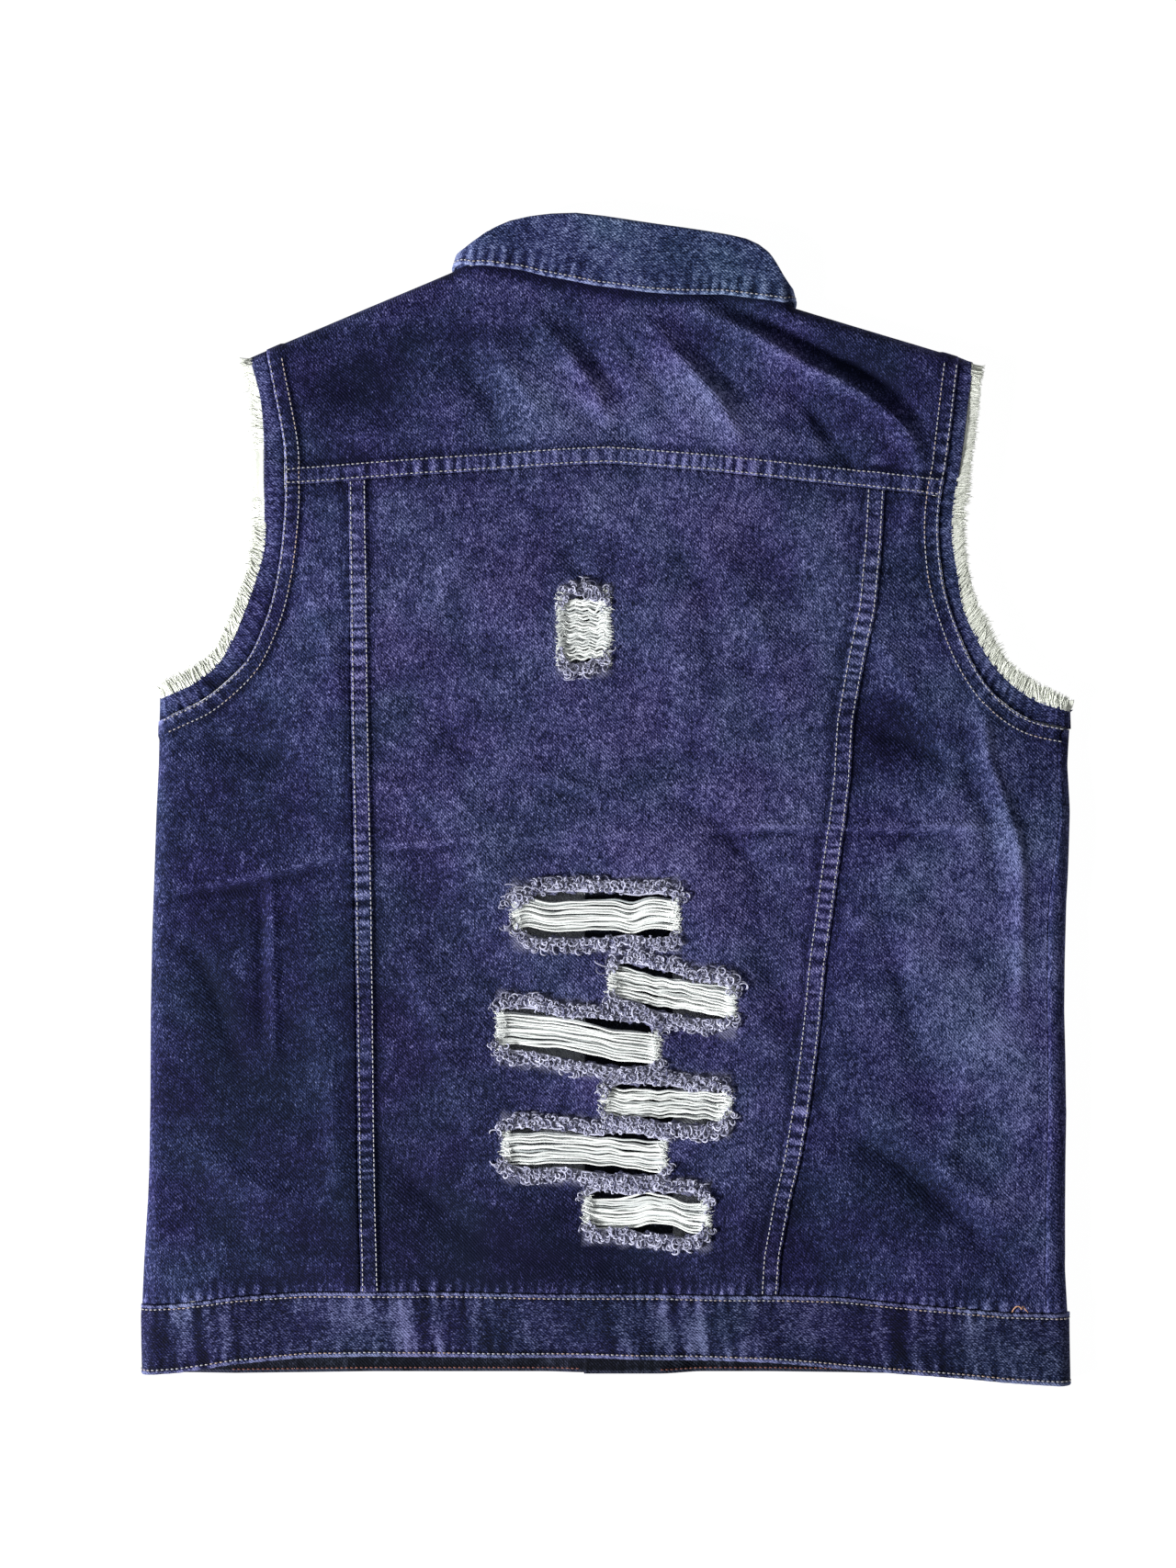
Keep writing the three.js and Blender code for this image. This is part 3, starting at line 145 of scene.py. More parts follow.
# Side folds by height, and the seams beside the centre panel, midway between their stitch rows
SIDE_Y = [-334, -296, -262, -218, -171, -119, -77, -41, -5, 20, 60]
SIDE_X = {
    "left": [-264.3, -264.8, -263.2, -260.4, -259.7, -259.4, -258.6, -257.3, -256.1, -254.8, -254.0],
    "right": [263.6, 262.9, 260.9, 260.8, 261.6, 260.3, 260.8, 262.3, 263.4, 262.0, 264.2],
}
PRINCESS_Y = [-290, -262, -232, -204, -176, -148, -120, -92, -64, -36, -8, 20, 52, 90, 120, 160, 190]
PRINCESS_X = {
    "left": [-134, -134.5, -135.3, -136, -136.2, -136.4, -136.7, -137.1, -137.5, -138, -138.5, -139,
             -139.7, -140, -140.2, -140.8, -141],
    "right": [91.5, 93.3, 98.5, 105, 109.5, 113.4, 116.4, 118.8, 122.5, 126, 129.8, 133,
              134.6, 141, 147, 150.6, 152],
}
SHOULDERS = {
    "left": ((-87, 300.4), (-207, 249.6)),
    "right": ((107, 279.5), (210, 248.4)),
}
WAIST_X = [-266, -243, -212, -170, -134, 0, 91.5, 133, 184, 225, 266]
WAIST_TOP = [-286.5, -285, -281.2, -278.7, -278.2, -279.6, -280.3, -281.6, -286.5, -290, -291]
WAIST_HEM = [-325.5, -324, -319, -315.5, -314.6, -315.6, -318, -321.8, -325.8, -329.5, -332]
WAIST_FRONT = [-325.5, -326.5, -327, -326.5, -326, -326, -326, -326.5, -327.5, -330, -332]

# Armholes from the side fold to the shoulder: seam, cut edge, thread ends, front seam and edge
SEAM, EDGE, FRAY, FRONT, FRONT_EDGE = range(5)
ARMHOLES = {
    "left": np.array([
        ((-254, 44.7), (-254, 57.7), (-256, 64), (-254, 44.7), (-254, 54)),
        ((-241, 50.6), (-245, 61.5), (-246, 70), (-238, 43), (-243, 52)),
        ((-228.5, 56.7), (-233, 67.5), (-236, 76), (-221, 48), (-227, 56)),
        ((-215.5, 67), (-221, 77), (-226, 84), (-205, 58), (-212, 65)),
        ((-204, 79), (-213, 90), (-220, 95), (-193, 74), (-201, 79)),
        ((-196.3, 94), (-206.5, 105), (-214, 108), (-184.5, 94), (-193, 97)),
        ((-190, 112), (-199.5, 124), (-207, 126), (-178, 113), (-187, 115)),
        ((-185, 137), (-194.5, 143), (-203, 144), (-173, 137), (-182, 138)),
        ((-182.3, 162), (-193.5, 164), (-201, 165), (-170.5, 162), (-180, 162)),
        ((-181.8, 177.8), (-193.6, 179), (-200.6, 184), (-172, 182), (-181.5, 182)),
        ((-182.6, 200), (-193.8, 203), (-201.5, 203), (-177.5, 202), (-187.5, 204)),
        ((-186.6, 223), (-196, 228), (-203.5, 227), (-186.4, 223), (-195.5, 228)),
        ((-192.8, 255), (-202.5, 251.5), (-209.6, 247), (-192.8, 255), (-202.5, 251.5)),
    ]),
    "right": np.array([
        ((264.2, 40.2), (264, 50.5), (265, 57), (264.2, 40.2), (264, 48)),
        ((241, 45.2), (245, 56.5), (247, 66), (240, 37), (244, 46)),
        ((225, 54.8), (230, 66), (234, 75), (221, 43), (227, 52)),
        ((214, 66.4), (219, 77.5), (226, 84), (205, 56), (212, 64)),
        ((204, 83.4), (210, 92), (219, 97), (194, 74), (202, 79)),
        ((195.8, 104), (202.5, 109), (211.5, 113), (186, 97), (194.5, 100)),
        ((190.6, 123), (199, 128), (206.5, 131), (179, 120), (188, 122)),
        ((188, 144), (196, 148), (203.7, 149), (175, 144), (184, 145)),
        ((187.7, 159), (196, 162), (203.8, 165), (174.5, 163), (184, 163)),
        ((188.9, 171.9), (197.6, 175), (206, 179), (178, 180), (187.5, 180)),
        ((192, 192), (200.5, 195), (208.3, 194), (184.5, 198), (194.5, 200)),
        ((195.8, 223.6), (204, 223.6), (211.4, 222), (195.6, 223.6), (203.5, 223.6)),
        ((199.2, 251.6), (207.7, 249.1), (213, 244), (199.2, 251.6), (207.7, 249.1)),
    ]),
}
YOKE_POINT = 9
SHOULDER_POINT = 12

# Folds and creases of the back: corners, height of the ridge or depth of the valley, width
CREASES = [
    ([(52, 276), (82, 262), (114, 244), (146, 227), (166, 210), (178, 190)], 5, 8),
    ([(62, 283), (92, 269), (124, 252), (158, 234), (178, 214)], -4.4, 7),
    ([(76, 244), (104, 228), (128, 204), (140, 186)], -3, 10),
    ([(24, 268), (44, 246), (62, 226), (74, 202)], 3.2, 9),
    ([(46, 262), (66, 240), (86, 222)], -2.4, 9), ([(8, 262), (26, 240), (38, 212)], -1.8, 9),
    ([(-42, 272), (-26, 256), (-8, 232), (2, 208)], 2.8, 9),
    ([(-24, 272), (-6, 250), (10, 228)], -2, 9), ([(-66, 264), (-56, 244), (-38, 218)], 1.8, 10),
    ([(-84, 250), (-66, 226), (-60, 204)], -2, 10), ([(90, 238), (112, 218), (118, 196)], 1.8, 8),
    ([(120, 242), (160, 232)], 1.6, 5), ([(-60, 236), (-108, 212), (-150, 206)], 2, 11),
    ([(-95, 266), (-124, 244), (-160, 226)], -2.4, 12), ([(-30, 226), (20, 202)], -1.6, 11),
    ([(-130, 262), (-158, 246), (-180, 236)], 1.8, 9), ([(176, 186), (168, 150)], 1.6, 9),
    ([(-250, -50), (-213, -46), (-180, -38), (-146, -29)], 1.9, 3.6),
    ([(-250, -55), (-213, -51), (-180, -43), (-146, -34)], -2, 4),
    ([(-127, -26), (-104, -25), (-78, -22)], 1.9, 3.6), ([(-127, -30), (-104, -29), (-78, -26)], -1.8, 4),
    ([(-78, -22), (-10, -20), (56, -17)], 0.8, 4),
    ([(56, -17), (90, -15), (124, -15)], 2, 3.6), ([(56, -21), (90, -19), (124, -19)], -2, 4),
    ([(132, -15), (160, -16), (190, -15), (240, -17)], 1.8, 3.6), ([(132, -19), (160, -20), (200, -19)], -2, 4),
    ([(214, 58), (215, 26), (226, -6), (233, -33), (234, -80), (233, -119)], 3, 6),
    ([(202, 50), (204, 20), (216, -14), (222, -60)], -1.8, 9),
    ([(-190, -41), (-189, -91), (-188, -145)], 2.2, 4.5), ([(-196, -46), (-195, -130)], -1.6, 5),
    ([(132, -187), (166, -207), (194, -231), (232, -268)], -3.2, 13),
    ([(150, -176), (190, -206), (232, -244)], 1.8, 13), ([(155, 38), (176, 30), (196, 18)], -3.4, 12),
    ([(36, 2), (62, -14), (92, -46)], -2.4, 12), ([(184, -2), (202, 14)], 2, 7),
    ([(133, -82), (152, -62)], 1.8, 6), ([(-50, 18), (-20, 8), (10, -2)], 2, 7),
    ([(-42, 8), (-6, 2), (28, 12)], -1.6, 8), ([(6, 2), (40, 8), (74, 6)], 1.5, 8),
    ([(-26, 142), (-8, 123)], -2, 8), ([(12, 144), (-6, 122)], -2, 8),
    ([(-70, 150), (-92, 118), (-112, 86)], 1.7, 13), ([(60, 150), (82, 112), (98, 60), (100, 26)], 1.7, 13),
    ([(30, 160), (54, 118), (60, 70)], -1.2, 14), ([(-118, 60), (-94, 44), (-76, 14)], -1.6, 14),
    ([(-170, 120), (-158, 92), (-150, 50)], 1.8, 11), ([(-244, 30), (-212, 30), (-176, 20)], -2, 11),
    ([(-236, -80), (-222, -110), (-208, -150)], -1.8, 11), ([(-240, -192), (-206, -214), (-172, -228)], 2, 12),
    ([(-168, -112), (-156, -160), (-152, -216)], 1.6, 12), ([(-112, -86), (-96, -130), (-82, -176)], 1.6, 13),
    ([(-124, -202), (-98, -228), (-72, -248)], -1.8, 13), ([(150, -56), (166, -100), (178, -156)], -1.9, 13),
    ([(206, -146), (196, -184), (190, -222)], 1.9, 12), ([(80, -200), (74, -268)], 1.6, 12),
    ([(148, 94), (164, 76), (180, 52)], 1.9, 11), ([(196, -236), (238, -214)], 1.9, 12),
    ([(-230, -250), (-194, -260), (-156, -262)], 1.7, 12), ([(-64, -256), (-10, -264), (44, -266)], -1.4, 12),
    ([(82, -76), (98, -112), (108, -154)], -1.6, 13),
]

# Holes worn through the panel: ends in X, upper and lower edge at each end
RIPS = [
    ((-25, -1), (115, 115), (78, 78), 0.92),
    ((-50, 38), (-53, -51.5), (-77, -79), 0.64),
    ((4, 70), (-91, -104), (-114, -127), 0.7),
    ((-59, 27), (-116, -127), (-142, -153), 0.64),
    ((0, 67), (-160, -163), (-180, -184), 0.7),
    ((-56, 31), (-185, -189), (-208, -212.5), 0.66),
    ((-10, 55), (-220, -223), (-243, -247), 0.68),
]

# Broad patches of the washed cloth, partly its fading and partly painted shade of the folds: middle, reach
# across and along, paler or darker
SHADES = [
    ((-150, 235), (80, 50), -0.9), ((30, 222), (75, 38), 0.5), ((150, 246), (45, 22), -0.8),
    ((70, 262), (60, 12), -0.6), ((-60, 262), (60, 12), -0.5), ((170, 205), (50, 40), -0.6),
    ((60, 90), (80, 90), -0.05), ((-80, 60), (60, 90), -0.15), ((85, -60), (45, 60), 0),
    ((-90, -150), (60, 90), -0.6), ((-40, -256), (150, 44), -1.25), ((95, -150), (40, 120), -0.15),
    ((-205, -150), (70, 130), -0.95), ((-215, 0), (50, 60), -0.4), ((175, 120), (30, 50), 0.1),
    ((200, -60), (40, 90), 0.45), ((175, -225), (55, 40), -0.5), ((160, 36), (35, 22), -0.7),
    ((230, -150), (25, 80), 0.4),
]


def smooth(start, end, x):
    """A soft step from 0 before start to 1 after end."""
    t = np.clip((x - start) / (end - start), 0, 1)
    return t * t * (3 - 2 * t)


def mix(a, b, t):
    """The value that lies a share t of the way from a to b."""
    return a + (b - a) * t


def bell(x, middle, width):
    """A hump of height 1 at the middle that fades out over the width."""
    return np.exp(-((x - middle) / width) ** 2)


def interpolate(at, places, points):
    """Points of a path, a row for each place along it, at other places."""
    return np.stack([np.interp(at, places, points[:, k]) for k in range(points.shape[1])], -1)


def princess(side, y):
    """Where the seam beside the centre panel runs, by height."""
    return np.interp(y, PRINCESS_Y, PRINCESS_X[side]) + (-5 if side == "left" else 5)


def yoke_seam(x):
    """Height of the seam under the yoke, which drops towards both armholes."""
    return 190.3 - np.where(x < 0, 12.8, 18) * np.abs(x / 185) ** 1.15


def through(points, s):
    """A smooth curve through rows of points, at fractional row numbers s."""
    p = np.asarray(points, float)
    last = len(p) - 1
    s = np.clip(np.asarray(s, float), 0, last)
    i = np.minimum(np.floor(s).astype(int), last - 1)
    t = (s - i)[..., None]
    a, b, c, d = p[np.maximum(i - 1, 0)], p[i], p[i + 1], p[np.minimum(i + 2, last)]
    return 0.5 * (2 * b + (c - a) * t + (2 * a - 5 * b + 4 * c - d) * t ** 2 + (3 * b - a - 3 * c + d) * t ** 3)


def from_line(x, y, line):
    """Distance of points from a line of corners, and how far along it they lie."""
    best = np.full(np.shape(x), 1e9)
    along = np.zeros(np.shape(x))
    start = 0
    for a, b in zip(np.asarray(line, float)[:-1], np.asarray(line, float)[1:]):
        step = b - a
        length = math.hypot(*step)
        t = np.clip(((x - a[0]) * step[0] + (y - a[1]) * step[1]) / length ** 2, 0, 1)
        d = np.hypot(x - a[0] - t * step[0], y - a[1] - t * step[1])
        along = np.where(d < best, start + t * length, along)
        best = np.minimum(best, d)
        start += length
    return best, along


def puckers(d, along, seed, pitch=6.6, reach=7):
    """Gathers that stitching pulls up across a seam, from -1 to 1, fading away from it."""
    phase = along / pitch + 0.45 * np.sin(along / 17 + seed) + 0.3 * np.sin(along / 7.3 + 2 * seed)
    strength = 0.7 + 0.3 * np.sin(along / 23 + 3 * seed)
    return strength * bell(d, 0, reach) * np.sin(2 * math.pi * phase)


def rip_depth(rip, x, y, ragged=1.0):
    """How far points lie outside a rip's ragged outline, below zero inside it."""
    (x0, x1), upper, lower, _ = rip
    t = (x - x0) / (x1 - x0)
    middle = (mix(*upper, t) + mix(*lower, t)) / 2
    half = (mix(*upper, t) - mix(*lower, t)) / 2
    across = (x - (x0 + x1) / 2) / ((x1 - x0) / 2)
    rise = (y - middle) / half
    size = (np.abs(across) ** 8 + np.abs(rise) ** 8) ** 0.125
    edge = (size - 1) * np.where(np.abs(across) > np.abs(rise), (x1 - x0) / 2, half)
    noise = 0.8 * np.sin(0.55 * x + 0.3 * y + x0) + 0.5 * np.sin(1.3 * x - 0.9 * y)
    noise += 0.4 * np.sin(1.1 * y + 0.4 * x)
    return edge - ragged * noise


MAP_X = np.arange(-278, 279)
MAP_Y = np.arange(-342, 348)
map_x, map_y = np.meshgrid(MAP_X, MAP_Y)
relief = mix(BODY_HEIGHT, YOKE_HEIGHT, smooth(60, 200, map_y))
wash = np.zeros(map_x.shape)
for line, height, width in CREASES:
    d, along = from_line(map_x, map_y, through(line, np.linspace(0, len(line) - 1, 6 * len(line) - 5)))
    t = along / along.max()
    fade = np.sin(math.pi * mix(0.06, 0.94, t)) ** 0.6
    crest = np.exp(-2.6 * (np.hypot(d, 1.5) - 1.5) / width)
    relief += height * mix(np.exp(-2 * (d / width) ** 2), crest, 0.6) * fade
    # Each ridge is also painted paler and each valley darker: partly wear rubbed pale on the crests and partly
    # painted highlight, with painted shade in the valleys
    wash += (0.4 if width < 5 else 0.2) * height * np.exp(-1.9 * d / width) * fade
waves = np.random.default_rng(7)
for _ in range(26):
    angle, length = waves.uniform(0, math.pi), waves.uniform(26, 120)
    across = (map_x * math.cos(angle) + map_y * math.sin(angle)) / length
    wave = np.sin(2 * math.pi * across + waves.uniform(0, 6))
    relief += 0.0026 * length * wave
    wash += 0.02 * wave
SEAMS = []
arm_distance = np.full(map_x.shape, 1e9)
for side in SIGNS:
    middle = np.array(PRINCESS_X[side]) + (-1 if side == "left" else 1)
    SEAMS.append(np.column_stack([middle, PRINCESS_Y]))
    SEAMS.append(through(ARMHOLES[side][:, SEAM], np.linspace(0, 12, 61)))
    arm_distance = np.minimum(arm_distance, from_line(map_x, map_y, SEAMS[-1])[0])
seam_x = np.linspace(-182, 190, 60)
SEAMS.append(np.column_stack([seam_x, yoke_seam(seam_x) + 4]))
waist_x = np.linspace(-262, 262, 60)
SEAMS.append(np.column_stack([waist_x, np.interp(waist_x, WAIST_X, WAIST_TOP) + 1]))
for number, line in enumerate(SEAMS):
    d, along = from_line(map_x, map_y, line)
    gather = puckers(d, along, number + 1.3, 6.2, 5.6)
    relief += 0.6 * gather
    # Puckers rubbed pale and dark across each seam, a paler band over the felled strip, and a dark band painted
    # on both sides beyond it as its shadow
    wash += 1.5 * gather + 0.08 * np.exp(-(d / 4.5) ** 4) - 0.35 * bell(d, 8, 2.6)
# Broad patches painted paler or darker: partly the cloth's fading and partly painted shade of the folds
for (x, y), (reach_x, reach_y), shade in SHADES:
    wash += shade * np.exp(-((map_x - x) / reach_x) ** 2 - ((map_y - y) / reach_y) ** 2)
bare = np.zeros(map_x.shape)
for rip in RIPS:
    away = rip_depth(rip, map_x, map_y, 0.4)
    beside = (map_x < rip[0][0] - 3) | (map_x > rip[0][1] + 3)
    ragged = away + 1.2 * np.sin(0.5 * map_x) * np.sin(0.23 * map_x + 0.4 * map_y)
    frayed = np.where(beside, np.exp(-(np.maximum(away, 0) / 2) ** 2), 1 - smooth(6, 9.5, ragged))
    bare = np.maximum(bare, frayed)
slope_y, slope_x = np.gradient(relief)


def sample(field, x, y):
    """A map's value at points, taken straight between its four nearest entries."""
    u = np.clip(x - MAP_X[0], 0, len(MAP_X) - 1.001)
    v = np.clip(y - MAP_Y[0], 0, len(MAP_Y) - 1.001)
    i, j = u.astype(int), v.astype(int)
    below = mix(field[j, i], field[j, i + 1], u - i)
    above = mix(field[j + 1, i], field[j + 1, i + 1], u - i)
    return mix(below, above, v - j)


def nearest_fold(x, y):
    """Distance from the nearest edge where the cloth folds under, and the way out to it."""
    best = np.full(x.shape, 1e9)
    out_x, out_y = np.zeros(x.shape), np.ones(x.shape)
    for side, sign in SIGNS.items():
        top = ARMHOLES[side][0, EDGE, 1]
        inward = (np.interp(np.minimum(y, top), SIDE_Y, SIDE_X[side]) - x) * sign
        drop = np.maximum(0, y - top)
        d = np.where(drop > 0, np.hypot(inward, drop), np.maximum(0, inward))
        nearer = d < best
        safe = np.maximum(d, 0.01)
        out_x = np.where(nearer, np.where(drop > 0, sign * inward / safe, sign), out_x)
        out_y = np.where(nearer, np.where(drop > 0, -drop / safe, 0), out_y)
        best = np.minimum(best, d)
        neck, tip = (np.array(end) for end in SHOULDERS[side])
        step = tip - neck
        length = math.hypot(*step)
        t = ((x - neck[0]) * step[0] + (y - neck[1]) * step[1]) / length ** 2
        px, py = neck[0] + np.clip(t, 0, 1) * step[0], neck[1] + np.clip(t, 0, 1) * step[1]
        d = np.hypot(x - px, y - py)
        nearer = d < best
        square = (t > 0) & (t < 1) | (d < 0.01)
        safe = np.maximum(d, 0.01)
        out_x = np.where(nearer, np.where(square, -sign * step[1] / length, (px - x) / safe), out_x)
        out_y = np.where(nearer, np.where(square, sign * step[0] / length, (py - y) / safe), out_y)
        best = np.minimum(best, d)
    return best, out_x, out_y


def front_height(x, y, side, on_band=False):
    """Height of a front's face on the table, raised where it lies over something."""
    if side == "left":
        placket = LEFT_LIFT * smooth(-38, -6, x)
    else:
        placket = (RIGHT_BAND_LIFT if on_band else RIGHT_LIFT) * (1 - smooth(LEFT_EDGE + 2, LEFT_EDGE + 28, x))
    under_collar = LEAF_LIFT * (1 - smooth(1, 1.25, np.hypot((x - 9) / 140, (y - 290) / 122)))
    wave = 0.16 * (2 + np.sin(x / 13 + 1.7 * np.sin(y / 41)) + np.sin(y / 17 + 1.3 * np.sin(x / 29)))
    return np.maximum(placket, under_collar) + np.where(on_band, 0, wave)


def lie(layer, x, y, side="left", on_band=False):
    """The cloth's outer face at points of one layer, with its normals and how flat it lies."""
    x, y = np.broadcast_arrays(np.asarray(x, float), np.asarray(y, float))
    d, out_x, out_y = nearest_fold(x, y)
    c = np.clip(1 - d / FOLD_ROUND, 0, 1)
    s = np.sqrt(1 - c * c)
    if layer == "back":
        up, height = 1, sample(relief, x, y)
        tilt_x, tilt_y = sample(slope_x, x, y), sample(slope_y, x, y)
    else:
        up, height = -1, front_height(x, y, side, on_band)
        tilt_x = (front_height(x + 1, y, side, on_band) - front_height(x - 1, y, side, on_band)) / 2
        tilt_y = (front_height(x, y + 1, side, on_band) - front_height(x, y - 1, side, on_band)) / 2
    rise = np.abs(height - FOLD_HEIGHT) * c / FOLD_ROUND
    normal = np.stack([out_x * rise - s * tilt_x * up, out_y * rise - s * tilt_y * up, s * up + 1e-6], -1)
    normal /= np.linalg.norm(normal, axis=-1, keepdims=True)
    return np.stack([x, y, FOLD_HEIGHT + (height - FOLD_HEIGHT) * s], -1), normal, s


def fold_distances(steps):
    """Distances from a fold's edge of the columns round it, coming to it and going from it."""
    quarter = np.linspace(0, math.pi / 2, steps)
    return FOLD_ROUND * (1 - np.sin(quarter)), FOLD_ROUND * (1 - np.cos(quarter))


def to_mesh(name, corners, faces, flat=None, **marks):
    """A mesh in metres from corners in millimetres, smooth but for the faces marked flat."""
    used, faces = np.unique(np.asarray(faces), return_inverse=True)
    faces = faces.reshape(-1, 4) if faces.ndim == 1 else faces
    mesh = bpy.data.meshes.new(name)
    mesh.from_pydata((np.asarray(corners)[used] * MM).tolist(), [], faces.tolist())
    smooth_faces = np.ones(len(faces), bool)
    if flat is not None:
        smooth_faces[flat] = False
    mesh.polygons.foreach_set("use_smooth", smooth_faces)
    for mark, values in marks.items():
        mesh.attributes.new(mark, "FLOAT", "POINT").data.foreach_set("value", np.asarray(values, float)[used])
    return mesh


def shell(name, points, normals, raised=0.0, thick=CLOTH, keep=None, **marks):
    """A closed wall of cloth from a grid of outer points, open where keep is false."""
    rows, columns = points.shape[:2]
    raised, thick = np.broadcast_to(raised, (rows, columns)), np.broadcast_to(thick, (rows, columns))
    outer = points + normals * raised[..., None]
    inner = outer - normals * thick[..., None]
    number = np.arange(rows * columns).reshape(rows, columns)
    quads = np.stack([number[:-1, :-1], number[:-1, 1:], number[1:, 1:], number[1:, :-1]], -1)
    quads = quads[np.ones((rows - 1, columns - 1), bool) if keep is None else keep]
    flat_points, flat_normals = outer.reshape(-1, 3), normals.reshape(-1, 3)
    facing = np.cross(flat_points[quads[:, 1]] - flat_points[quads[:, 0]],
                      flat_points[quads[:, 2]] - flat_points[quads[:, 0]])
    if np.sum(facing * flat_normals[quads[:, 0]]) < 0:
        quads = quads[:, ::-1]
    edges = np.concatenate([quads[:, [k, (k + 1) % 4]] for k in range(4)])
    key = edges.min(1) * rows * columns + edges.max(1)
    _, where, count = np.unique(key, return_index=True, return_counts=True)
    rim = edges[where[count == 1]]
    total = rows * columns
    rim_quads = np.stack([rim[:, 1], rim[:, 0], rim[:, 0] + total, rim[:, 1] + total], -1)
    faces = np.concatenate([quads, quads[:, ::-1] + total, rim_quads])
    corners = np.concatenate([flat_points, inner.reshape(-1, 3)])
    doubled = {}
    for mark, values in marks.items():
        doubled[mark] = np.tile(np.broadcast_to(values, (rows, columns)).ravel(), 2)
    mesh = to_mesh(name, corners, faces, flat=slice(2 * len(quads), None), **doubled)
    mesh["inner_faces"] = [len(quads), 2 * len(quads)]
    return mesh


def put(name, mesh, material, nodes=(), lining=None):
    """Adds a piece that rides on the vest, with its material and what it stands for."""
    made = bpy.data.objects.new(name, mesh)
    scene.collection.objects.link(made)
    mesh.materials.append(material)
    if lining:
        mesh.materials.append(lining)
        first, last = mesh["inner_faces"]
        sides = np.zeros(len(mesh.polygons), int)
        sides[first:last] = 1
        mesh.polygons.foreach_set("material_index", sides)
    if "inner_faces" in mesh:
        del mesh["inner_faces"]
    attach(made, "root")
    if nodes:
        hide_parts(*nodes)
    return made


# Patterns to the metre. A yarn's speckle is drawn 0.7 mm apart, though yarns lie 0.45 mm
# apart, so that it shows. Slubs are 2.4 mm, grit 1.2 mm, patches of wash 8 mm, clouds of it
# 33 mm and drifts of hue 48 mm across.
SPECKLE, SLUB, GRIT, PATCH, CLOUD, DRIFT, TWILL = 1450, 420, 850, 120, 30, 21, 330


def denim(name, dark, base, pale, along="y", lilac="#66677f"):
    """Washed indigo twill: dyed warp over white weft. A mark on the mesh makes it paler where it rubs on the
    ridges, and also holds painted light and shade of the folds and seams.

    Fine speckle and long slubs follow the warp, the washing left soft clouds, and places rubbed through show
    the bare weft. The fuzz of the yarn gives a soft sheen and no gloss.
    """
    made, tree, output = new_material(name)
    place = add(tree, "TexCoord").outputs["Object"]
    stretch = (1, 0.4, 1) if along == "y" else (0.4, 1, 1)
    warp = add(tree, "Mapping", {"Vector": place, "Scale": stretch}).outputs[0]
    weave = {"Vector": warp, "Scale": SPECKLE, "Detail": 2, "Roughness": 0.7}
    speckle = add(tree, "TexNoise", weave).outputs[0]
    slub = add(tree, "TexNoise", {"Vector": warp, "Scale": SLUB, "Detail": 2, "Roughness": 0.6}).outputs[0]
    grit = add(tree, "TexNoise", {"Vector": place, "Scale": GRIT, "Detail": 1}).outputs[0]
    cloud = add(tree, "TexNoise", {"Vector": place, "Scale": CLOUD, "Detail": 4, "Roughness": 0.6}).outputs[0]
    patch = add(tree, "TexNoise", {"Vector": place, "Scale": PATCH, "Detail": 3, "Roughness": 0.6}).outputs[0]
    twill = add(tree, "TexWave", {"Vector": place, "Scale": TWILL, "Distortion": 1.2, "Detail": 1},
                wave_type="BANDS", bands_direction="DIAGONAL").outputs["Fac"]
    worn_and_shaded = add(tree, "Attribute", attribute_name="wash").outputs["Fac"]
    stripped = add(tree, "Attribute", attribute_name="bare").outputs["Fac"]
    level = add(tree, "Math", {0: worn_and_shaded, 1: 0.36, 2: 0.4}, operation="MULTIPLY_ADD").outputs[0]
    amounts = (speckle, 2.5), (slub, 0.55), (grit, 0.7), (cloud, 0.5), (patch, 0.5), (twill, 0.1)
    for part, amount in amounts:
        centred = add(tree, "Math", {0: part, 1: 0.5}, operation="SUBTRACT").outputs[0]
        level = add(tree, "Math", {0: centred, 1: amount, 2: level}, operation="MULTIPLY_ADD").outputs[0]
    low = add(tree, "MapRange", {"Value": level, "From Min": 0, "From Max": 0.45}).outputs[0]
    high = add(tree, "MapRange", {"Value": level, "From Min": 0.45, "From Max": 1.05}).outputs[0]
    deep = add(tree, "Mix", {0: low, 6: linear(dark), 7: linear(base)}, data_type="RGBA").outputs[2]
    dyed = add(tree, "Mix", {0: high, 6: deep, 7: linear(pale)}, data_type="RGBA").outputs[2]
    loose = add(tree, "MapRange", {"Value": speckle, "From Min": 0.3, "From Max": 0.6,
                                   "To Min": 0.45}).outputs[0]
    share = add(tree, "Math", {0: stripped, 1: loose}, operation="MULTIPLY").outputs[0]
    share = add(tree, "Math", {0: share, 1: 0.85}, operation="MULTIPLY").outputs[0]
    hue = add(tree, "TexNoise", {"Vector": place, "Scale": DRIFT, "Detail": 3}).outputs[0]
    hue = add(tree, "MapRange", {"Value": hue, "From Min": 0.35, "From Max": 0.65,
                                 "To Min": 0.488, "To Max": 0.512}).outputs[0]
    dyed = add(tree, "HueSaturation", {"Hue": hue, "Saturation": 1.04, "Value": 0.83, "Color": dyed}).outputs[0]
    colour = add(tree, "Mix", {0: share, 6: dyed, 7: linear(lilac)}, data_type="RGBA").outputs[2]
    rough = add(tree, "MapRange", {"Value": speckle, "From Min": 0.3, "From Max": 0.7,
                                   "To Min": 0.82, "To Max": 0.96}).outputs[0]
    yarn = add(tree, "Math", {0: speckle, 1: twill}, operation="ADD").outputs[0]
    bump = add(tree, "Bump", {"Height": yarn, "Strength": 0.55, "Distance": 0.00035}).outputs[0]
    shader = add(tree, "BsdfPrincipled", {
        "Base Color": colour, "Roughness": rough, "IOR": 1.53, "Specular IOR Level": 0.1,
        "Sheen Weight": 0.05, "Sheen Roughness": 0.5, "Sheen Tint": linear("#9aa2e0"), "Normal": bump})
    tree.links.new(shader.outputs[0], output.inputs[0])
    return made


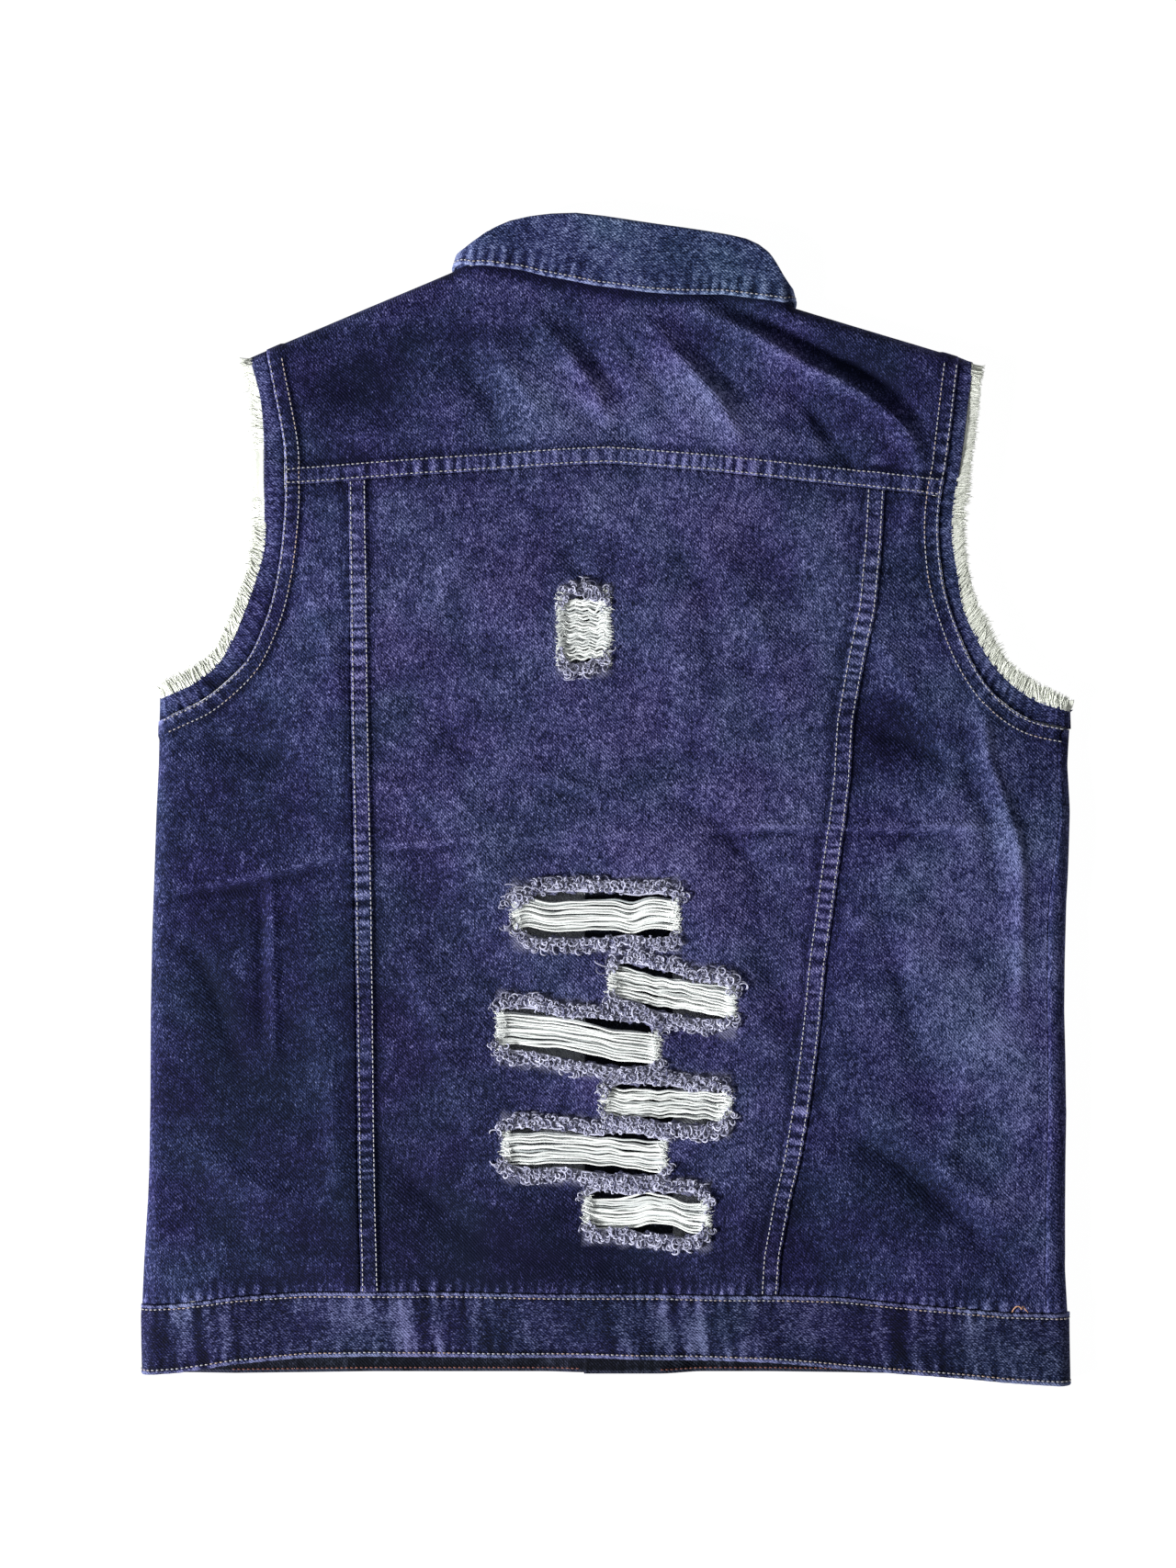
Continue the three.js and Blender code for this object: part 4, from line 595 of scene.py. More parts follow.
body_denim = denim("washed_indigo_twill_body", "#0b0e26", "#333660", "#8c8dbd")
wrong_side = denim("undyed_weft_wrong_side", "#8b8f9a", "#b3b6be", "#dcdee2")

ROW_SHARES = np.linspace(0, 1, 236)
CENTRE_Y = (-284, 190)
FELL_STEP = (9.2, 10.8)


def back_row(x, t, foot=WAIST_GAP):
    """Height of a row that runs across the back, from the waistband up to the yoke."""
    return mix(np.interp(x, WAIST_X, WAIST_TOP) + foot, yoke_seam(x) - SEAM_GAP, t)


def felled_edge(d):
    """Raise and colour by distance from a felled seam: double cloth, rubbed pale at its edge, with painted
    shadow at the foot of the doubled strip.
    """
    rub_and_shadow = 0.45 * bell(d, 0.4, 0.8) - 0.5 * bell(d, 11.2, 1.2)
    return FELL_RAISE * (1 - smooth(*FELL_STEP, d)), rub_and_shadow


level = mix(*CENTRE_Y, ROW_SHARES)
left_x = princess("left", level) + SEAM_GAP / 2
right_x = princess("right", level) - SEAM_GAP / 2
edge_steps = np.array([0, 0.5, 1.6, 3, 4.6, 6.4, 8, 9, 9.8, 10.8, 12])
share = np.linspace(0, 1, 106)
columns = [left_x + d for d in edge_steps[:-1]]
columns += [mix(left_x + edge_steps[-1], right_x - edge_steps[-1], t) for t in share]
columns += [right_x - d for d in edge_steps[-2::-1]]
x = np.stack(columns, 1)
y = back_row(x, ROW_SHARES[:, None])
centre_x = (x[:-1, :-1] + x[1:, 1:]) / 2
centre_y = (y[:-1, :-1] + y[1:, 1:]) / 2
inside = np.zeros(centre_x.shape, bool)
for rip in RIPS:
    inside |= rip_depth(rip, centre_x, centre_y) < 0
# Corners on a rip's rim have both kept and cut faces round them, and move onto its outline
kept_round = np.zeros(x.shape, int)
for i, j in ((0, 0), (0, 1), (1, 0), (1, 1)):
    kept_round[i:i + x.shape[0] - 1, j:j + x.shape[1] - 1] += np.where(inside, 1, 10)
on_rim = (kept_round % 10 > 0) & (kept_round >= 10)
for rip in RIPS:
    near = on_rim & (np.abs(rip_depth(rip, x, y)) < 4)
    for _ in range(4):
        px, py = x[near], y[near]
        f = rip_depth(rip, px, py)
        fx = (rip_depth(rip, px + 0.1, py) - rip_depth(rip, px - 0.1, py)) / 0.2
        fy = (rip_depth(rip, px, py + 0.1) - rip_depth(rip, px, py - 0.1)) / 0.2
        size = np.maximum(fx * fx + fy * fy, 0.25)
        x[near] = px - np.clip(f * fx / size, -1, 1)
        y[near] = py - np.clip(f * fy / size, -1, 1)
from_edge = np.minimum(x - left_x[:, None], right_x[:, None] - x)
fell, rub_and_shadow = felled_edge(from_edge)
points, normals, _ = lie("back", x, y)
centre_mesh = shell("back_centre", points, normals, fell, CLOTH + fell, ~inside,
                    wash=sample(wash, x, y) + rub_and_shadow, bare=sample(bare, x, y))
centre = put("back_centre_panel", centre_mesh, body_denim, ["back_centre"], wrong_side)


# Back side panels.
# Narrower panels between the centre one and the side folds, darker than it. Their long
# inner edges lie under its felled seam, and on the right the front wraps over to meet it.
side_denim = denim("washed_indigo_twill_side", "#0a0d24", "#2b3059", "#8084b3")
WRAP_Y = [-290, -120, -57, -12, 45]
WRAP_WIDTH = [13.5, 11.3, 11.5, 7.6, 6.2]
WRAP_STEPS = 6
ARM_FELL_STEP = (8.6, 10.2)
ARM_FELL_RAISE = 0.7
BODY_ROWS = [-284, -262, -232, -204, -176, -148, -120, -92, -64, -36, -8, 20]
ROW_Y = BODY_ROWS + [40, 52, 62, 76, 90, 105, 120, 140, 160, 180]
FOLD_TOP = {"left": 43.4, "right": 38.9}
# The lowest rows are fitted to the waistband and those above the top row to the yoke
FOOT_ROWS = 4
TOP_ROW = 17


def side_outline(side, row):
    """Outer and inner ends of a side panel's rows, by fractional row number."""
    folded = len(BODY_ROWS)
    sign = SIGNS[side]
    inner_y = np.interp(row, np.arange(len(ROW_Y)), ROW_Y)
    fold_y = np.interp(row, np.arange(folded + 1), BODY_ROWS + [FOLD_TOP[side]])
    arm = through(ARMHOLES[side][:, SEAM], np.maximum(row - folded, 0))
    on_arm = row > folded
    wrap = np.interp(fold_y, WRAP_Y, WRAP_WIDTH) if side == "right" else 0 * fold_y
    wrap = wrap * (1 - smooth(folded, folded + 1, row))
    outer_x = np.where(on_arm, arm[:, 0], np.interp(fold_y, SIDE_Y, SIDE_X[side]))
    outer_x -= sign * (SEAM_GAP / 2 + wrap)
    outer_y = np.where(on_arm, arm[:, 1] - SEAM_GAP * 0.7, fold_y)
    inner_x = princess(side, inner_y) + sign * SEAM_GAP / 2
    return outer_x, outer_y, inner_x, inner_y


def armhole_edge(d):
    """Raise and colour by distance from an armhole: pale roped edge, darker double cloth, and painted shadow at
    the foot of the felled strip.
    """
    rope = 1.1 * bell(d, 0.3, 0.9)
    rub_and_shadow = rope - 0.3 * bell(d, 4.6, 2.8) - 0.35 * bell(d, 10.6, 1.3)
    return ARM_FELL_RAISE * (1 - smooth(*ARM_FELL_STEP, d)), rub_and_shadow


to_fold, beyond_fold = fold_distances(ROUND_STEPS)
row = np.interp(np.linspace(ROW_Y[0], ROW_Y[-1], 230), ROW_Y, np.arange(len(ROW_Y)))
for side, sign in SIGNS.items():
    outer_x, outer_y, inner_x, inner_y = side_outline(side, row)
    length = np.abs(outer_x - inner_x)
    across = [d / length for d in beyond_fold[:-1]]
    across += [mix(beyond_fold[-1] / length, 1, t) for t in np.linspace(0, 1, 55)]
    across = np.stack(across, 1)
    x = mix(outer_x[:, None], inner_x[:, None], across)
    y = mix(outer_y[:, None], inner_y[:, None], across)
    foot_line = mix(outer_y[0], inner_y[0], across[0])
    foot = np.interp(x[0], WAIST_X, WAIST_TOP) + WAIST_GAP - foot_line
    top = yoke_seam(x[-1]) - SEAM_GAP - y[-1]
    y += foot * np.clip(1 - row[:, None] / FOOT_ROWS, 0, 1)
    y += top * np.clip((row[:, None] - TOP_ROW) / (row[-1] - TOP_ROW), 0, 1)
    points, normals, _ = lie("back", x, y)
    from_fold = np.abs(x - outer_x[:, None])
    # Rubbed pale along the fold, and painted shadow along the inner edge, beside the centre panel's raised
    # felled seam
    rub_and_shadow = 0.3 * bell(from_fold, 0, 3) - 0.55 * bell(np.abs(x - inner_x[:, None]), 1, 1.6)
    fell, arm_rub_and_shadow = armhole_edge(sample(arm_distance, x, y))
    rub_and_shadow += arm_rub_and_shadow
    mesh = shell(f"back_side_{side}", points, normals, fell, CLOTH + fell,
                 wash=sample(wash, x, y) + rub_and_shadow, bare=0)
    made = put(f"back_side_panel_{side}", mesh, side_denim, [f"back_side_{side}"], wrong_side)


# Back yoke.
# A wide piece over both shoulders, felled over the panels below it. It folds over each
# shoulder to a seam on the front, and carries the longest ridge of the vest.
yoke_denim = denim("washed_indigo_twill_yoke", "#0b0e27", "#333762", "#8c8ebf")
COLLAR_CENTRE = (9, 300)
COLLAR_TURN = math.radians(-7)
NECK_V = -6.3
SHOULDER_WRAP = 18
FAR = 99


def collar_to_world(u, v):
    """A place given along and up from the collar's middle, which sits turned on the vest."""
    c, s = math.cos(COLLAR_TURN), math.sin(COLLAR_TURN)
    return COLLAR_CENTRE[0] + u * c - v * s, COLLAR_CENTRE[1] + u * s + v * c


yoke_top = []
for side, sign in SIGNS.items():
    tip = ARMHOLES[side][SHOULDER_POINT, SEAM] - (sign * SEAM_GAP / 2, 0)
    line = np.linspace(tip, SHOULDERS[side][0], 7)
    if side == "left":
        yoke_top += line.tolist()
        yoke_top += [collar_to_world(mix(-93, 97, i / 10), NECK_V) for i in range(1, 10)]
    else:
        yoke_top += line[::-1].tolist()
yoke_top = np.array(yoke_top)
w = np.linspace(0, 1, 199)
at = w * (len(yoke_top) - 1)
top = interpolate(at, np.arange(len(yoke_top)), yoke_top)
yoke_ends = [ARMHOLES[side][YOKE_POINT, SEAM, 0] - sign * SEAM_GAP / 2 for side, sign in SIGNS.items()]
foot_x = mix(*yoke_ends, w)
foot = np.stack([foot_x, yoke_seam(foot_x)], -1)
length = np.hypot(*(top - foot).T)
shares = [mix(0, 1 - FOLD_ROUND / length, t) for t in np.linspace(0, 1, 48)]
under = [*beyond_fold[1:], 12, 15, SHOULDER_WRAP]
shares = np.array(shares + [1 - d / length for d in (*to_fold[1:], *under)])
back_rows = len(shares) - len(under)


def edge_pull(side, t):
    """How far the armhole bends in from a straight line up the end of the yoke."""
    curve = through(ARMHOLES[side][YOKE_POINT:, SEAM], np.linspace(0, 3, 61))
    rise = (curve[:, 1] - curve[0, 1]) / (curve[-1, 1] - curve[0, 1])
    return np.interp(t, rise, curve[:, 0] - mix(curve[0, 0], curve[-1, 0], rise))


ease = np.abs(2 * w - 1)
pull = mix(edge_pull("left", shares), edge_pull("right", shares), w) * ease
x = mix(foot[:, 0], top[:, 0], shares) + pull
y = mix(foot[:, 1], top[:, 1], shares)
points, normals, _ = lie("back", x, y)
on_left = np.broadcast_to(w < 0.5, x.shape)
for side, mask in (("left", on_left), ("right", ~on_left)):
    lower, lower_normals, _ = lie("front", x, y, side)
    turned = mask.copy()
    turned[:back_rows] = False
    points[turned] = lower[turned]
    normals[turned] = lower_normals[turned]
keep = np.ones((len(shares) - 1, len(w) - 1), bool)
neck = (at[:-1] >= 6) & (at[1:] <= 16.01)
keep[back_rows - 1:, neck] = False
from_edge = shares * length
from_edge[back_rows:] = FAR
fell, rub_and_shadow = felled_edge(from_edge)
near_arm = sample(arm_distance, x, y)
near_arm[back_rows:] = FAR
arm_fell, arm_rub_and_shadow = armhole_edge(near_arm)
fell = np.maximum(fell, arm_fell)
rub_and_shadow += arm_rub_and_shadow
collar_u = (x - COLLAR_CENTRE[0]) * math.cos(COLLAR_TURN) + (y - COLLAR_CENTRE[1]) * math.sin(COLLAR_TURN)
collar_v = (y - COLLAR_CENTRE[1]) * math.cos(COLLAR_TURN) - (x - COLLAR_CENTRE[0]) * math.sin(COLLAR_TURN)
# The cloth is dark where the collar's leaf shades it
LEAF_U = [-97, -84, -64, -40, -17, 5, 34, 56, 78, 98]
LEAF_V = [-13, -6, -7, -10, -11, -12, -10, -7, -6, -8]
below_leaf = np.maximum(0, np.interp(collar_u, LEAF_U, LEAF_V) - collar_v)
rub_and_shadow[:back_rows] -= 1.8 * bell(below_leaf[:back_rows], 0, 5)
yoke_mesh = shell("back_yoke", points, normals, fell, CLOTH + fell, keep,
                  wash=sample(wash, x, y) + rub_and_shadow, bare=0)
yoke = put("yoke", yoke_mesh, yoke_denim, ["back_yoke"], wrong_side)


# Fronts.
# The two fronts lie face down on the table, the left one under the right at the middle.
# They show only through the rips, by their pale wrong side, and where the right one
# comes over the side fold.
BODY_TOP = 36
# Where the fold ends at the armhole, and the front neck from the shoulder to the front edge
FRONT_TOP = {"left": 43.4, "right": 40}
NECKS = {
    "left": [(-78.5, 284), (-76, 268), (-69, 248), (-50, 229), (-22, 217.5), (7, 214), (27, 214.5)],
    "right": [(98.5, 263), (94, 250), (82, 236), (63, 224.5), (29.5, 215.4), (7, 214), (-13, 215.5)],
}


def front_waist(x):
    """Height of the seam between the fronts and the waistband, straight from fold to fold."""
    return mix(WAIST_TOP[0], WAIST_TOP[-1], (x - WAIST_X[0]) / (WAIST_X[-1] - WAIST_X[0]))


def front_panel(side):
    """The rows of a front from the waistband to the shoulder: where they fall, which lie below the fold's top,
    their inner and outer ends, and the side's sign.
    """
    sign = SIGNS[side]
    lead = LEFT_EDGE if side == "left" else RIGHT_EDGE
    arm = list(ARMHOLES[side][1:SHOULDER_POINT, FRONT])
    last, before = ARMHOLES[side][SHOULDER_POINT, SEAM], ARMHOLES[side][SHOULDER_POINT - 1, SEAM]
    arm.append(mix(last, before, (SHOULDER_WRAP + SEAM_GAP) / math.dist(last, before)))
    neck = NECKS[side][::-1]
    first = len(arm) - len(neck)
    inner = [(lead, mix(BODY_TOP, neck[0][1], (i + 1) / (first + 1))) for i in range(first)] + neck
    body_y = BODY_ROWS + [FRONT_TOP[side]]
    ends = [((lead, y), (np.interp(y, SIDE_Y, SIDE_X[side]), y)) for y in body_y]
    ends += [(a, (b[0] - sign * SEAM_GAP / 2, b[1])) for a, b in zip(inner, arm)]
    ends = np.array(ends, float)
    folded = len(body_y)
    rows = np.concatenate([np.linspace(0, folded - 1, 92), np.linspace(folded - 1, len(ends) - 1, 75)[1:]])
    lower = rows <= folded - 1
    at = np.arange(len(ends))
    start = interpolate(rows, at, ends[:, 0])
    end = np.where(lower[:, None], interpolate(rows, at, ends[:, 1]),
                   through(ends[folded - 1:, 1], rows - folded + 1))
    return rows, lower, start, end, sign


for side in SIGNS:
    rows, lower, start, end, sign = front_panel(side)
    width = np.abs(end[:, 0] - start[:, 0])
    across = [mix(0, 1 - FOLD_ROUND / width, t) for t in np.linspace(0, 1, 62)]
    across += [1 - d / width for d in to_fold[1:]]
    across = np.stack(across, 1)
    x = mix(start[:, :1], end[:, :1], across)
    y = mix(start[:, 1:], end[:, 1:], across)
    foot = front_waist(x[0]) + WAIST_GAP - y[0]
    y = y + foot * np.clip(1 - rows[:, None] / 2, 0, 1)
    points, normals, _ = lie("front", x, y, side)
    rub_and_shadow = np.zeros(x.shape)
    if side == "right":
        wrap = np.interp(y[:, -1], WRAP_Y, WRAP_WIDTH) - SEAM_GAP / 2
        turn = np.arccos(np.clip(1 - wrap / FOLD_ROUND, -1, 1))
        over_x = []
        for t in np.linspace(0, 1, WRAP_STEPS + 1)[1:]:
            round_fold = FOLD_ROUND * (1 - math.cos(t * math.pi / 2)) + (wrap - FOLD_ROUND) * t
            d = np.where(wrap > FOLD_ROUND, round_fold, FOLD_ROUND * (1 - np.cos(turn * t)))
            over_x.append(end[:, 0] - d)
        over_x = np.stack(over_x, 1)
        over_y = np.repeat(y[:, -1:], WRAP_STEPS, 1)
        over, over_normals, _ = lie("back", over_x, over_y)
        points = np.concatenate([points, over], 1)
        normals = np.concatenate([normals, over_normals], 1)
        rub_and_shadow = np.concatenate([rub_and_shadow, sample(wash, over_x, over_y)], 1)
    keep = np.ones((points.shape[0] - 1, points.shape[1] - 1), bool)
    if side == "right":
        keep[~lower[1:], -WRAP_STEPS:] = False
    mesh = shell(f"front_{side}", points, normals, keep=keep, wash=rub_and_shadow, bare=0)
    front_denim = side_denim if side == "right" else body_denim
    made = put(f"front_{side}_panel", mesh, front_denim, [f"front_{side}"], wrong_side)


# Facing of the right front.
# A straight strip of dark, little washed denim inside the right front's edge, which is
# what shows darkest through the rips.
facing_denim = denim("unwashed_indigo_twill_facing", "#05070f", "#11141f", "#343848")
FACING_X = (RIGHT_EDGE + 0.5, 37)
FACING_Y = (-268, 200)
FACING_CLOTH = 1
x, y = np.meshgrid(np.linspace(*FACING_X, 26), np.linspace(*FACING_Y, 160))
points, normals, _ = lie("front", x, y, "right")
facing_mesh = shell("facing_right", points, normals, -(CLOTH + SEAM_GAP), FACING_CLOTH, wash=0, bare=0)
facing = put("facing", facing_mesh, facing_denim, ["facing_right"])


# Waistband.
# One strip of doubled denim from the left front's edge round the back to the right
# front's. Its grain runs along it, and its stitching has drawn both edges into puckers.
waist_denim = denim("washed_indigo_twill_waistband", "#080a1c", "#1c2145", "#71769d", along="x")
BAND_CLOTH = 2.2
FRONT_SINK = 0.45
BAND_MIDDLE = -305
left_end, right_end = (float(np.interp(BAND_MIDDLE, SIDE_Y, SIDE_X[side])) for side in SIGNS)
towards, beyond = (distances[1:] for distances in fold_distances(ROUND_STEPS + 1))
runs = [
    ("front", "left", np.linspace(LEFT_EDGE, left_end + FOLD_ROUND, 110)),
    ("front", "left", left_end + towards),
    ("back", "left", left_end + beyond),
    ("back", "left", np.linspace(left_end + FOLD_ROUND, right_end - FOLD_ROUND, 270)[1:]),
    ("back", "right", right_end - towards),
    ("front", "right", right_end - beyond),
    ("front", "right", np.linspace(right_end - FOLD_ROUND, RIGHT_EDGE, 126)[1:]),
]
station_x = np.concatenate([places for _, _, places in runs])
lengths = [len(places) for _, _, places in runs]
on_back = np.repeat([layer == "back" for layer, _, _ in runs], lengths)
band_side = np.repeat([side for _, side, _ in runs], lengths)
band_upper = np.where(on_back, np.interp(station_x, WAIST_X, WAIST_TOP), front_waist(station_x))
hems = [np.interp(station_x, WAIST_X, hem) for hem in (WAIST_HEM, WAIST_FRONT)]
band_lower = np.where(on_back, *hems)


def lie_band(x, y):
    """The waistband's outer face, which passes from the fronts round to the back."""
    points, normals, lies_flat = lie("back", x, y)
    for side in SIGNS:
        chosen = ~on_back & (band_side == side)
        front = lie("front", x[chosen], y[chosen], side, True)
        points[chosen], normals[chosen], lies_flat[chosen] = front
    return points, normals, lies_flat


near_edge = np.array([0, 0.015, 0.035, 0.06, 0.09, 0.14])
t = np.array([*near_edge, *np.linspace(0.2, 0.8, 11), 0.86, 0.91, 0.94, 0.965, 0.985, 1])
x = np.repeat(station_x[:, None], len(t), 1)
y = mix(band_lower[:, None], band_upper[:, None], t)
points, normals, lies_flat = lie_band(x, y)
run = np.cumsum(np.hypot(np.diff(station_x, prepend=station_x[0]), 0.4))[:, None] + 0 * x
to_edge = np.minimum(y - band_lower[:, None], band_upper[:, None] - y)
above = np.sign(y - (band_upper + band_lower)[:, None] / 2)
gather = puckers(np.maximum(0, to_edge - 3), run + 2 * above, 4.1, 7.2, 6)
ridge = bell(to_edge, 1, 1.2) - 0.7 * bell(to_edge, 2.7, 0.8)
raised = np.where(on_back[:, None], lies_flat + 0.45 * gather + 0.35 * ridge, -FRONT_SINK)
raised = raised - 0.25 * bell(to_edge, 0, 0.5) * on_back[:, None]
bars = np.sin(run / 4.1 + 1.4 * np.sin(run / 19)) + 0.8 * np.sin(run / 2.3 + 2 * np.sin(run / 11) + 2 * t)
bars *= 0.25 + 0.2 * np.sin(run / 23) + 0.15 * np.sin(run / 9 + 3 * t)
shade = 0.8 * gather + 1.7 * ridge + bars + 0.25 * np.sin(run / 31) + 0.2 * np.sin(run / 14 + 4 * t)
thick = BAND_CLOTH - np.where(on_back, 0, FRONT_SINK)
band_mesh = shell("waistband", points, normals, raised, thick[:, None], wash=shade, bare=0)
band = put("waistband_strip", band_mesh, waist_denim, ["waistband"], facing_denim)


# Collar.
# A stand sewn to the neck and a leaf turned down over it. The back half lies above the
# yoke, the front half below it, and the doubled edge is puckered by its stitching.
collar_denim = denim("washed_indigo_twill_collar", "#0d132b", "#36426b", "#93a0c6", along="x")
COLLAR_CLOTH = 1.8
COLLAR_GAP = 0.6
LEAF_STEPS = 24
LEAF_BEVEL = 0.35
STITCH_INSET = 2.4
# On the back: place along the neck, its height, lean, lengths of stand and leaf, turn
BACK_STATIONS = {
    "right": [
        (0, -6, 0, 34, 39.6, 0), (15, -6, 0, 33.6, 39.4, 0), (30, -6, 0, 33.4, 38.4, 0),
        (45, -6, 0, 33, 36.4, 0), (58, -6, 0, 32.4, 33.6, 0), (67, -6, 0, 31.4, 31.8, 0),
        (74.5, -6, 0, 29, 29.2, 0), (81, -6, 0, 25, 25.4, 0), (86.5, -6, 3, 20, 20.6, 8),
        (91.5, -6.2, 8, 14.5, 14.8, 25), (95.5, -6.4, 16, 11, 11, 50),
    ],
    "left": [
        (-15, -6, 0, 34.4, 40, 0), (-30, -6, 0, 34.2, 38.6, 0), (-44, -6, 0, 32, 35.6, 0),
        (-56, -6, 0, 29, 31, 0), (-67, -6, 0, 25, 26.4, 0), (-77, -6, 0, 18.6, 19.2, 5),
        (-84, -7, -4, 14.6, 14.8, 22), (-89.5, -8, -10, 11.6, 11.6, 48),
    ],
}
# On the front: place, the way the stand leaves the seam, lengths of stand and leaf, turn
UNDER_STATIONS = {
    "right": [
        (105.6, 281.4, 108, 8, 8, 90), (103.6, 276.5, 125, 9, 12, 140), (101, 270.5, 145, 11, 24, 172),
        (97.6, 263, 158, 14, 36, 180), (92, 250.5, 148, 17, 46, 180), (80.8, 237, 132, 19, 52, 180),
        (62, 225.5, 112, 20, 56, 180), (36, 218, 101, 20, 60, 180), (22, 215.4, 94, 20, 62, 180),
        (9, 214.6, 84, 20, 62, 180),
    ],
    "left": [
        (-85.8, 301.6, 72, 8, 8, 90), (-83.2, 297.6, 58, 9, 12, 140), (-80.6, 290.5, 38, 11, 24, 172),
        (-77.4, 283, 22, 14, 36, 180), (-74.4, 268.5, 20, 17, 44, 180), (-67.6, 249.6, 34, 19, 50, 180),
        (-49, 230.2, 58, 20, 55, 180), (-21.6, 218.6, 78, 20, 60, 180), (5, 214.9, 97, 20, 62, 180),
    ],
}


def collar_rows(side):
    """Base point, angle, turn, stand, leaf and gap of each station on one side."""
    rows = []
    for u, v, lean, stand, leaf, turn in BACK_STATIONS[side]:
        leaf = max(leaf, stand + 1.8) if turn < 30 else leaf
        x, y = collar_to_world(u, v)
        z = mix(YOKE_HEIGHT, FOLD_HEIGHT + 3, math.sin(math.radians(turn)) ** 2)
        angle = 90 + math.degrees(COLLAR_TURN) + lean
        rows.append((x, y, z, angle if side == "right" else 180 - angle, turn, stand, leaf, COLLAR_GAP))
    for x, y, angle, stand, leaf, turn in UNDER_STATIONS[side]:
        level = float(front_height(np.array(x), np.array(y), side))
        eased = math.sin(min(1, max(0, (turn - 90) / 82)) * math.pi / 2)
        gap = max(COLLAR_GAP, level - COLLAR_CLOTH) if turn > 90 else COLLAR_GAP
        z = mix(FOLD_HEIGHT, level, eased)
        rows.append((x, y, z, angle if side == "right" else 180 - angle, turn, stand, leaf, gap))
    return rows


def collar_half(side):
    """Sections of the collar from the middle of the back to one front, closely spaced."""
    sign = -1 if side == "left" else 1
    rows = collar_rows(side)
    if side == "left":
        middle = list(collar_rows("right")[0])
        middle[3] = 180 - middle[3]
        rows = [tuple(middle)] + rows
    table = np.array(rows)
    spans = np.maximum(1, np.round(np.hypot(*np.diff(table[:, :2], axis=0).T) / 1.7)).astype(int)
    spans = np.maximum(spans, np.round(np.abs(np.diff(table[:, 4])) / 7).astype(int))
    at = np.concatenate([i + np.arange(n) / n for i, n in enumerate(spans)] + [[len(table) - 1]])
    rows = through(table, at)
    straight = [2, 4, 5, 6, 7]
    rows[:, straight] = interpolate(at, np.arange(len(table)), table)[:, straight]
    angle = np.radians(np.where(sign > 0, rows[:, 3], 180 - rows[:, 3]))
    turn = np.radians(rows[:, 4])
    along = np.stack([np.cos(angle), np.sin(angle), 0 * angle], -1)
    lateral = np.stack([np.sin(angle), -np.cos(angle), 0 * angle], -1) * sign
    off = lateral * np.sin(turn)[:, None] + np.array([0, 0, 1]) * np.cos(turn)[:, None]
    return rows, along, off


def collar_profile(stand, leaf, gap):
    """Outline of a section: leaf outside, round the fold, stand outside, and back inside."""
    t = COLLAR_CLOTH
    full, edge, inner = gap + t, stand - leaf, stand - t - 0.1
    bend = min(1.9, stand * 0.2)
    outline = [(edge + 0.1, gap + 0.25 * t), (edge, gap + 0.75 * t)]
    last = LEAF_STEPS - 1
    outline += [(mix(edge + LEAF_BEVEL, stand - bend, i / last), full) for i in range(LEAF_STEPS)]
    for a in np.linspace(90, -90, 9)[1:-1]:
        high = mix(full, -t, 0.5) + (full + t) / 2 * math.sin(math.radians(a))
        outline.append((stand - bend + bend * math.cos(math.radians(a)), high))
    outline += [(mix(stand - bend, 0, i / 11), -t) for i in range(12)]
    outline += [(mix(0, inner - 0.2, i / 8), 0) for i in range(9)]
    outline += [(inner + 0.1, gap / 2)]
    outline += [(mix(inner - 0.2, edge + LEAF_BEVEL, i / 9), gap) for i in range(10)]
    return np.array(outline)


sections, marks, leaf_row, leaf_normals = [], [], [], []
halves = {side: collar_half(side) for side in ("left", "right")}
order = [("left", i) for i in range(len(halves["left"][0]) - 1, 0, -1)]
order += [("right", i) for i in range(len(halves["right"][0]))]
run = 0
previous = None
for side, i in order:
    rows, along, off = halves[side]
    x, y, z, _, _, stand, leaf, gap = rows[i]
    outline = collar_profile(stand, leaf, gap)
    base = np.array([x, y, z])
    if previous is not None:
        run += math.dist(previous, (x, y))
    previous = (x, y)
    edge_gap = np.abs(outline[:, 0] - (stand - leaf))
    on_leaf = np.arange(len(outline)) < LEAF_STEPS + 2
    gather = np.where(on_leaf, puckers(np.maximum(0, edge_gap - 5), run + 0 * edge_gap, 2.2, 7.5, 6), 0)
    wave = np.where(on_leaf, 0.3 * math.sin(run / 16) + 0.2 * math.sin(run / 7.5 + 1), 0)
    on_top = (1 + math.cos(math.radians(rows[i, 4]))) / 2
    lift = outline[:, 1] + on_top * (0.32 * gather + 0.5 * np.where(on_leaf, wave + 0.5, 0))
    section = base + along[i] * outline[:, :1] + off[i] * lift[:, None]
    sections.append(section)
    share = (STITCH_INSET - LEAF_BEVEL) / (outline[3, 0] - outline[2, 0])
    k = 2 + int(share)
    leaf_row.append(mix(section[k], section[k + 1], share - int(share)) - 0.5 * (1 - on_top) * off[i])
    leaf_normals.append(off[i])
    rope = bell(edge_gap, 0.6, 1) - 0.6 * bell(edge_gap, 2.6, 0.7)
    fold_rub = np.exp(-((outline[:, 0] - stand) / 2.5) ** 2)
    marks.append(np.where(on_leaf, 1.1 * gather + 1.3 * rope + 0.6 * wave, 0) + 0.3 * fold_rub)
sections, marks = np.array(sections), np.array(marks)
count, size = sections.shape[:2]
number = np.arange(count * size).reshape(count, size)
ahead = np.roll(number, -1, axis=1)
faces = np.stack([number[:-1], number[1:], ahead[1:], ahead[:-1]], -1).reshape(-1, 4)
corners = sections.reshape(-1, 3)
ends = [number[0].tolist(), number[-1][::-1].tolist()]
collar_mesh = bpy.data.meshes.new("collar")
collar_mesh.from_pydata((corners * MM).tolist(), [], faces.tolist() + ends)
collar_mesh.polygons.foreach_set("use_smooth", [True] * len(faces) + [False, False])
